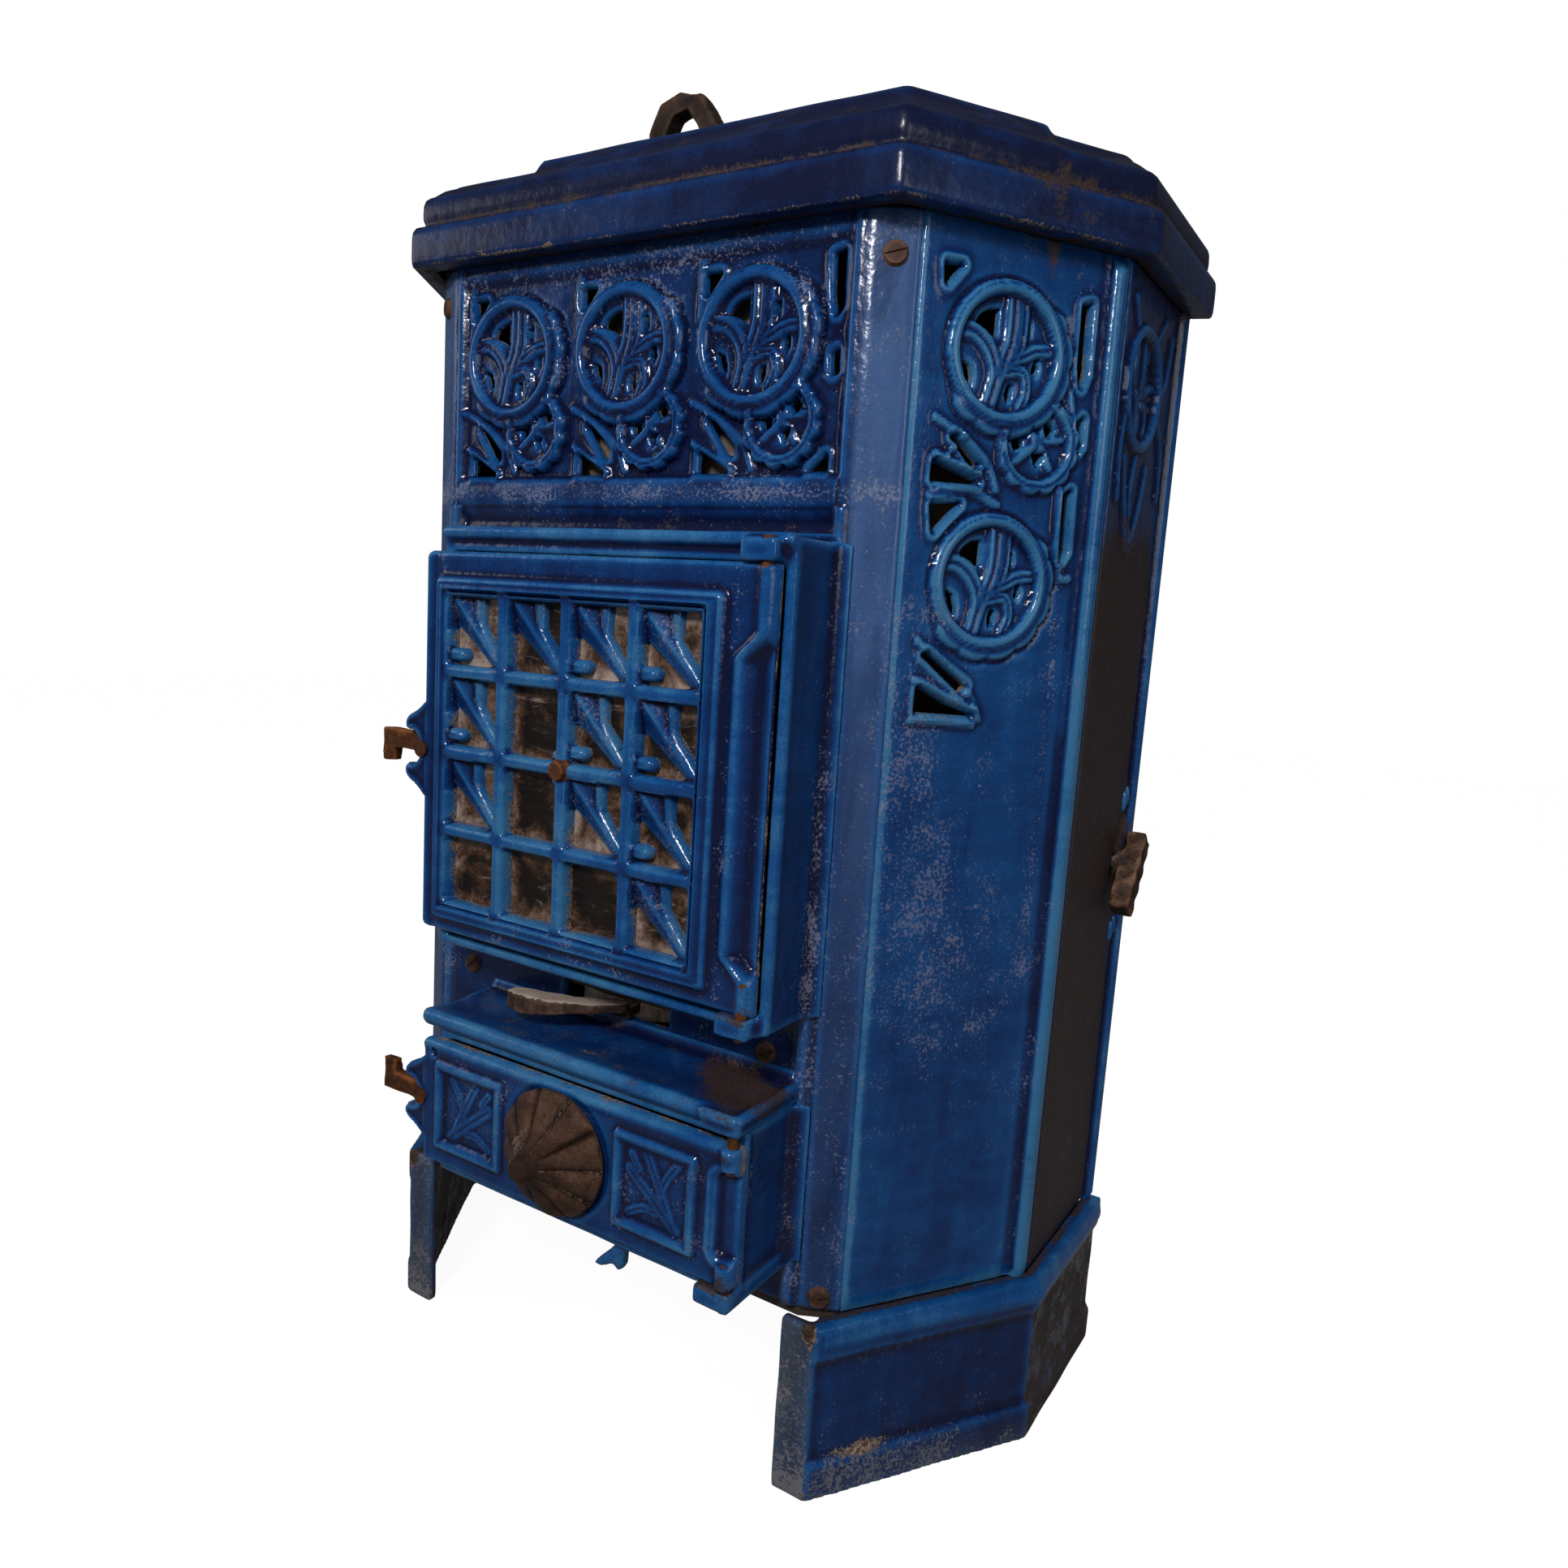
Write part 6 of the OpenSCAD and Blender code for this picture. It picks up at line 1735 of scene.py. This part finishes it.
rosette = {
    # Radius and distance from the door, from the foot of the shank to the tip, in mm
    "profile": ((0.3, 14), (5.8, 13.9), (6.4, 6), (36, 2), (40, 0.3), (41, 1.5), (40.8, 3.6), (38.5, 5.8),
                (35, 8.2), (30, 11.5), (25, 14.4), (20, 17.4), (16, 20.2), (12.8, 23), (10.4, 25.8),
                (9, 28.4), (8.3, 31), (7.6, 33.2), (6.2, 34.9), (4.2, 35.9), (2.2, 36.3), (0.3, 36.4)),
    "y": -64.3,
    "steps": 144,
    "flutes": 10,
    "depth": 0.034,
    "dustyFlutes": (0, 2, 9),
}


def rosetteGroup():
    # Each point carries its angle, radius and distance out; the tree bends them into the fluted cone
    group, start, end = nodeGroup("flutedCone", [
        ("Flutes", "Float", 12.0), ("Flute depth", "Float", 0.07), ("Material", "Material", None)])

    def named(label):
        inputs = {"Name": label}
        return newNode(group, "GeometryNodeInputNamedAttribute", inputs, data_type="FLOAT").outputs[0]

    angle = named("angle")
    wave = calc(group, "ABSOLUTE", calc(group, "SINE", times(group, angle, start.outputs["Flutes"], 0.5)))
    hollow = calc(group, "SUBTRACT", calc(group, "POWER", wave, 0.33), 0.82)
    taper = times(group, named("fluted"), start.outputs["Flute depth"])
    swell = times(group, hollow, taper, 0.012)
    out = add(group, named("out"), times(group, swell, 14.0))
    radius = add(group, named("radius"), times(group, swell, 6.0))
    place = newNode(group, "ShaderNodeCombineXYZ", {
        0: times(group, radius, calc(group, "COSINE", angle)), 1: times(group, out, -1),
        2: times(group, radius, calc(group, "SINE", angle))})
    bent = newNode(group, "GeometryNodeSetPosition", {
        "Geometry": start.outputs[0], "Position": place.outputs[0]})
    finishGroup(group, bent.outputs[0], start, end)
    return group


def makeRosette():
    steps, flutes = rosette["steps"], rosette["flutes"]
    angles = np.linspace(0, 2 * math.pi, steps, endpoint=False)
    profile = []
    for (r0, o0), (r1, o1) in zip(rosette["profile"], rosette["profile"][1:]):
        profile += [(r0, o0), (r0 + (r1 - r0) * 0.5, o0 + (o1 - o0) * 0.5)]
    profile.append(rosette["profile"][-1])
    count = len(profile)
    faces = []
    for i in range(steps):
        low, high = i * count, (i + 1) % steps * count
        faces += [(low + j, high + j, high + j + 1, low + j + 1) for j in range(count - 1)]
    faces.append([i * count for i in range(steps)][::-1])
    faces.append([i * count + count - 1 for i in range(steps)])
    mesh = bpy.data.meshes.new("airRosette")
    mesh.from_pydata([(math.cos(a) * r / 1000, -o / 1000, math.sin(a) * r / 1000) for a in angles
                      for r, o in profile], [], faces)
    piece = newObject("airRosette", mesh)
    angle = np.repeat(angles, count)
    radius, out = np.tile(np.transpose(profile), steps)
    setValue(piece, "angle", angle)
    setValue(piece, "radius", radius / 1000)
    setValue(piece, "out", out / 1000)
    setValue(piece, "fluted", np.clip((radius - 10) / 12, 0, 1) * (out > 3.5))
    values = {"Flutes": float(flutes), "Flute depth": rosette["depth"], "Material": rosetteIron}
    runGroup(piece, rosetteGroup(), values)
    x, z = ashDoor["rosette"]
    piece.data.transform(Matrix.Translation(Vector(toPart((x, rosette["y"], z)))))
    shape = bmesh.new()
    shape.from_mesh(piece.data)
    facedOut(shape, piece.data)
    finishShading(piece, 50)
    addWear(piece, 6, 0.35)
    turn = angle * flutes / (2 * math.pi)
    dusty = np.isin(np.round(turn) % flutes, rosette["dustyFlutes"])
    seam = hill(np.minimum(turn % 1, 1 - turn % 1), 0.07) * dusty
    tipDust = hill(angle - 2.6, 0.7) * (radius < 22) * (radius > 6)
    setValue(piece, "dust", np.clip(0.62 * seam * (radius > 9) + 0.6 * tipDust, 0, 1))
    return own(piece, "air_rosette", "rusty_iron", rosetteIron, "air_rosette")


makeRosette()
print("screws, ribs and rosette")


# Mica and the plain castings that keep their own mesh
mica = {
    "pitch": 0.0525,      # metres from pane to pane
    "corner": (-101.0, 0.0, 338.5),
    "tones": ((0.12, (0.008, 0.003, 0.001)), (0.36, (0.060, 0.027, 0.011)),
              (0.60, (0.150, 0.095, 0.070)), (0.92, (0.340, 0.260, 0.220))),
    "streak": (0.42, 0.33, 0.28),
}


def micaMaterial():  # each pane has a tone of its own and is sootier round its edge
    material, tree, surface, where = newMaterial("sootyMica")

    def vector(operation, *values):
        return newNode(tree, "ShaderNodeVectorMath", dict(enumerate(values)), operation=operation).outputs[0]

    x0, _, z0 = toPart(mica["corner"])
    cells = vector("MULTIPLY", vector("SUBTRACT", where, (x0, 0, z0)), (1 / mica["pitch"],) * 3)
    paneTone = newNode(tree, "ShaderNodeTexWhiteNoise", {"Vector": vector("FLOOR", cells)}).outputs[0]
    across, _, up = splitOf(tree, vector("FRACTION", cells))
    fromMiddle = calc(tree, "MAXIMUM", calc(tree, "ABSOLUTE", calc(tree, "SUBTRACT", across, 0.5)),
                      calc(tree, "ABSOLUTE", calc(tree, "SUBTRACT", up, 0.5)))
    smoke = noise(tree, where, 42, 4, 0.65, 0.6)
    flakes = noise(tree, placed(tree, where, Scale=(40, 40, 150), Rotation=(0, 0.5, 0)), 1, 4, 0.7, 0.8)
    fine = noise(tree, where, 480, 3, 0.6)
    tone = add(tree, between(tree, smoke, 0.25, 0.75, 0.05, 0.68), between(tree, paneTone, 0, 1, -0.25, 0.25),
               between(tree, fromMiddle, 0.18, 0.42, -0.12, 0.26), between(tree, fine, 0.3, 0.7, -0.08, 0.08))
    streak = times(tree, between(tree, flakes, 0.60, 0.72), 0.40)
    colour = blendColour(tree, streak, colourSteps(tree, tone, mica["tones"]), mica["streak"])
    rough = between(tree, flakes, 0.3, 0.7, 0.22, 0.60)
    connect(tree, surface, colour, rough, [(flakes, 0.0006), (fine, 0.0001)])
    return material


brick = {
    "tones": ((0.36, (0.10, 0.065, 0.040)), (0.52, (0.30, 0.20, 0.13)), (0.66, (0.44, 0.33, 0.23))),
    "soot": (0.020, 0.017, 0.015),
}


def brickMaterial():  # sooty towards the top
    material, tree, surface, where = newMaterial("sootyBrick")
    cloud, grains = noise(tree, where, 22, 4, 0.6), noise(tree, where, 380, 3, 0.7)
    tone = add(tree, times(tree, cloud, 0.6), times(tree, grains, 0.4))
    height = add(tree, splitOf(tree, where)[2], times(tree, cloud, 0.2))
    soot = between(tree, height, 0.45, 0.60, 0.15, 0.85)
    colour = blendColour(tree, soot, colourSteps(tree, tone, brick["tones"]), brick["soot"])
    rough = between(tree, grains, 0.3, 0.7, 0.75, 0.98)
    connect(tree, surface, colour, rough, [(cloud, 0.0010), (grains, 0.0007)])
    return material


ashPan = {
    "tones": ((0.38, (0.045, 0.035, 0.030)), (0.52, (0.13, 0.12, 0.115)), (0.66, (0.30, 0.27, 0.25))),
    "metallic": 0.55,
}


def panMaterial():
    material, tree, surface, where = newMaterial("ashySheet")
    cloud, grains = noise(tree, where, 30, 4, 0.6), noise(tree, where, 420, 3, 0.6)
    rolled = noise(tree, placed(tree, where, Scale=(400, 14, 14)), 1, 2, 0.5)
    colour = colourSteps(tree, add(tree, times(tree, cloud, 0.6), times(tree, rolled, 0.4)), ashPan["tones"])
    surface.inputs["Metallic"].default_value = ashPan["metallic"]
    rough = between(tree, cloud, 0.3, 0.7, 0.38, 0.75)
    connect(tree, surface, colour, rough, [(rolled, 0.0002), (grains, 0.0001)])
    return material


brickFinish = brickMaterial()
finishes = {  # by node, or by the first word of the frame's own material
    "mica_panes": micaMaterial(), "ash_pan": panMaterial(), "hopper": innerIron,
    "brick_left": brickFinish, "brick_right": brickFinish, "brick_back": brickFinish,
    "rusty": latchIron, "dusty": dustyIron,
}
for node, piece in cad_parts.items():
    if piece.hide_render:
        continue
    first = piece.data.materials[0].name.split("_")[0] if piece.data.materials else ""
    finish = finishes.get(node) or finishes.get(first, greyIron)
    for slot in piece.material_slots:
        slot.material = finish
print("plain castings finished")


# The end
print("done")
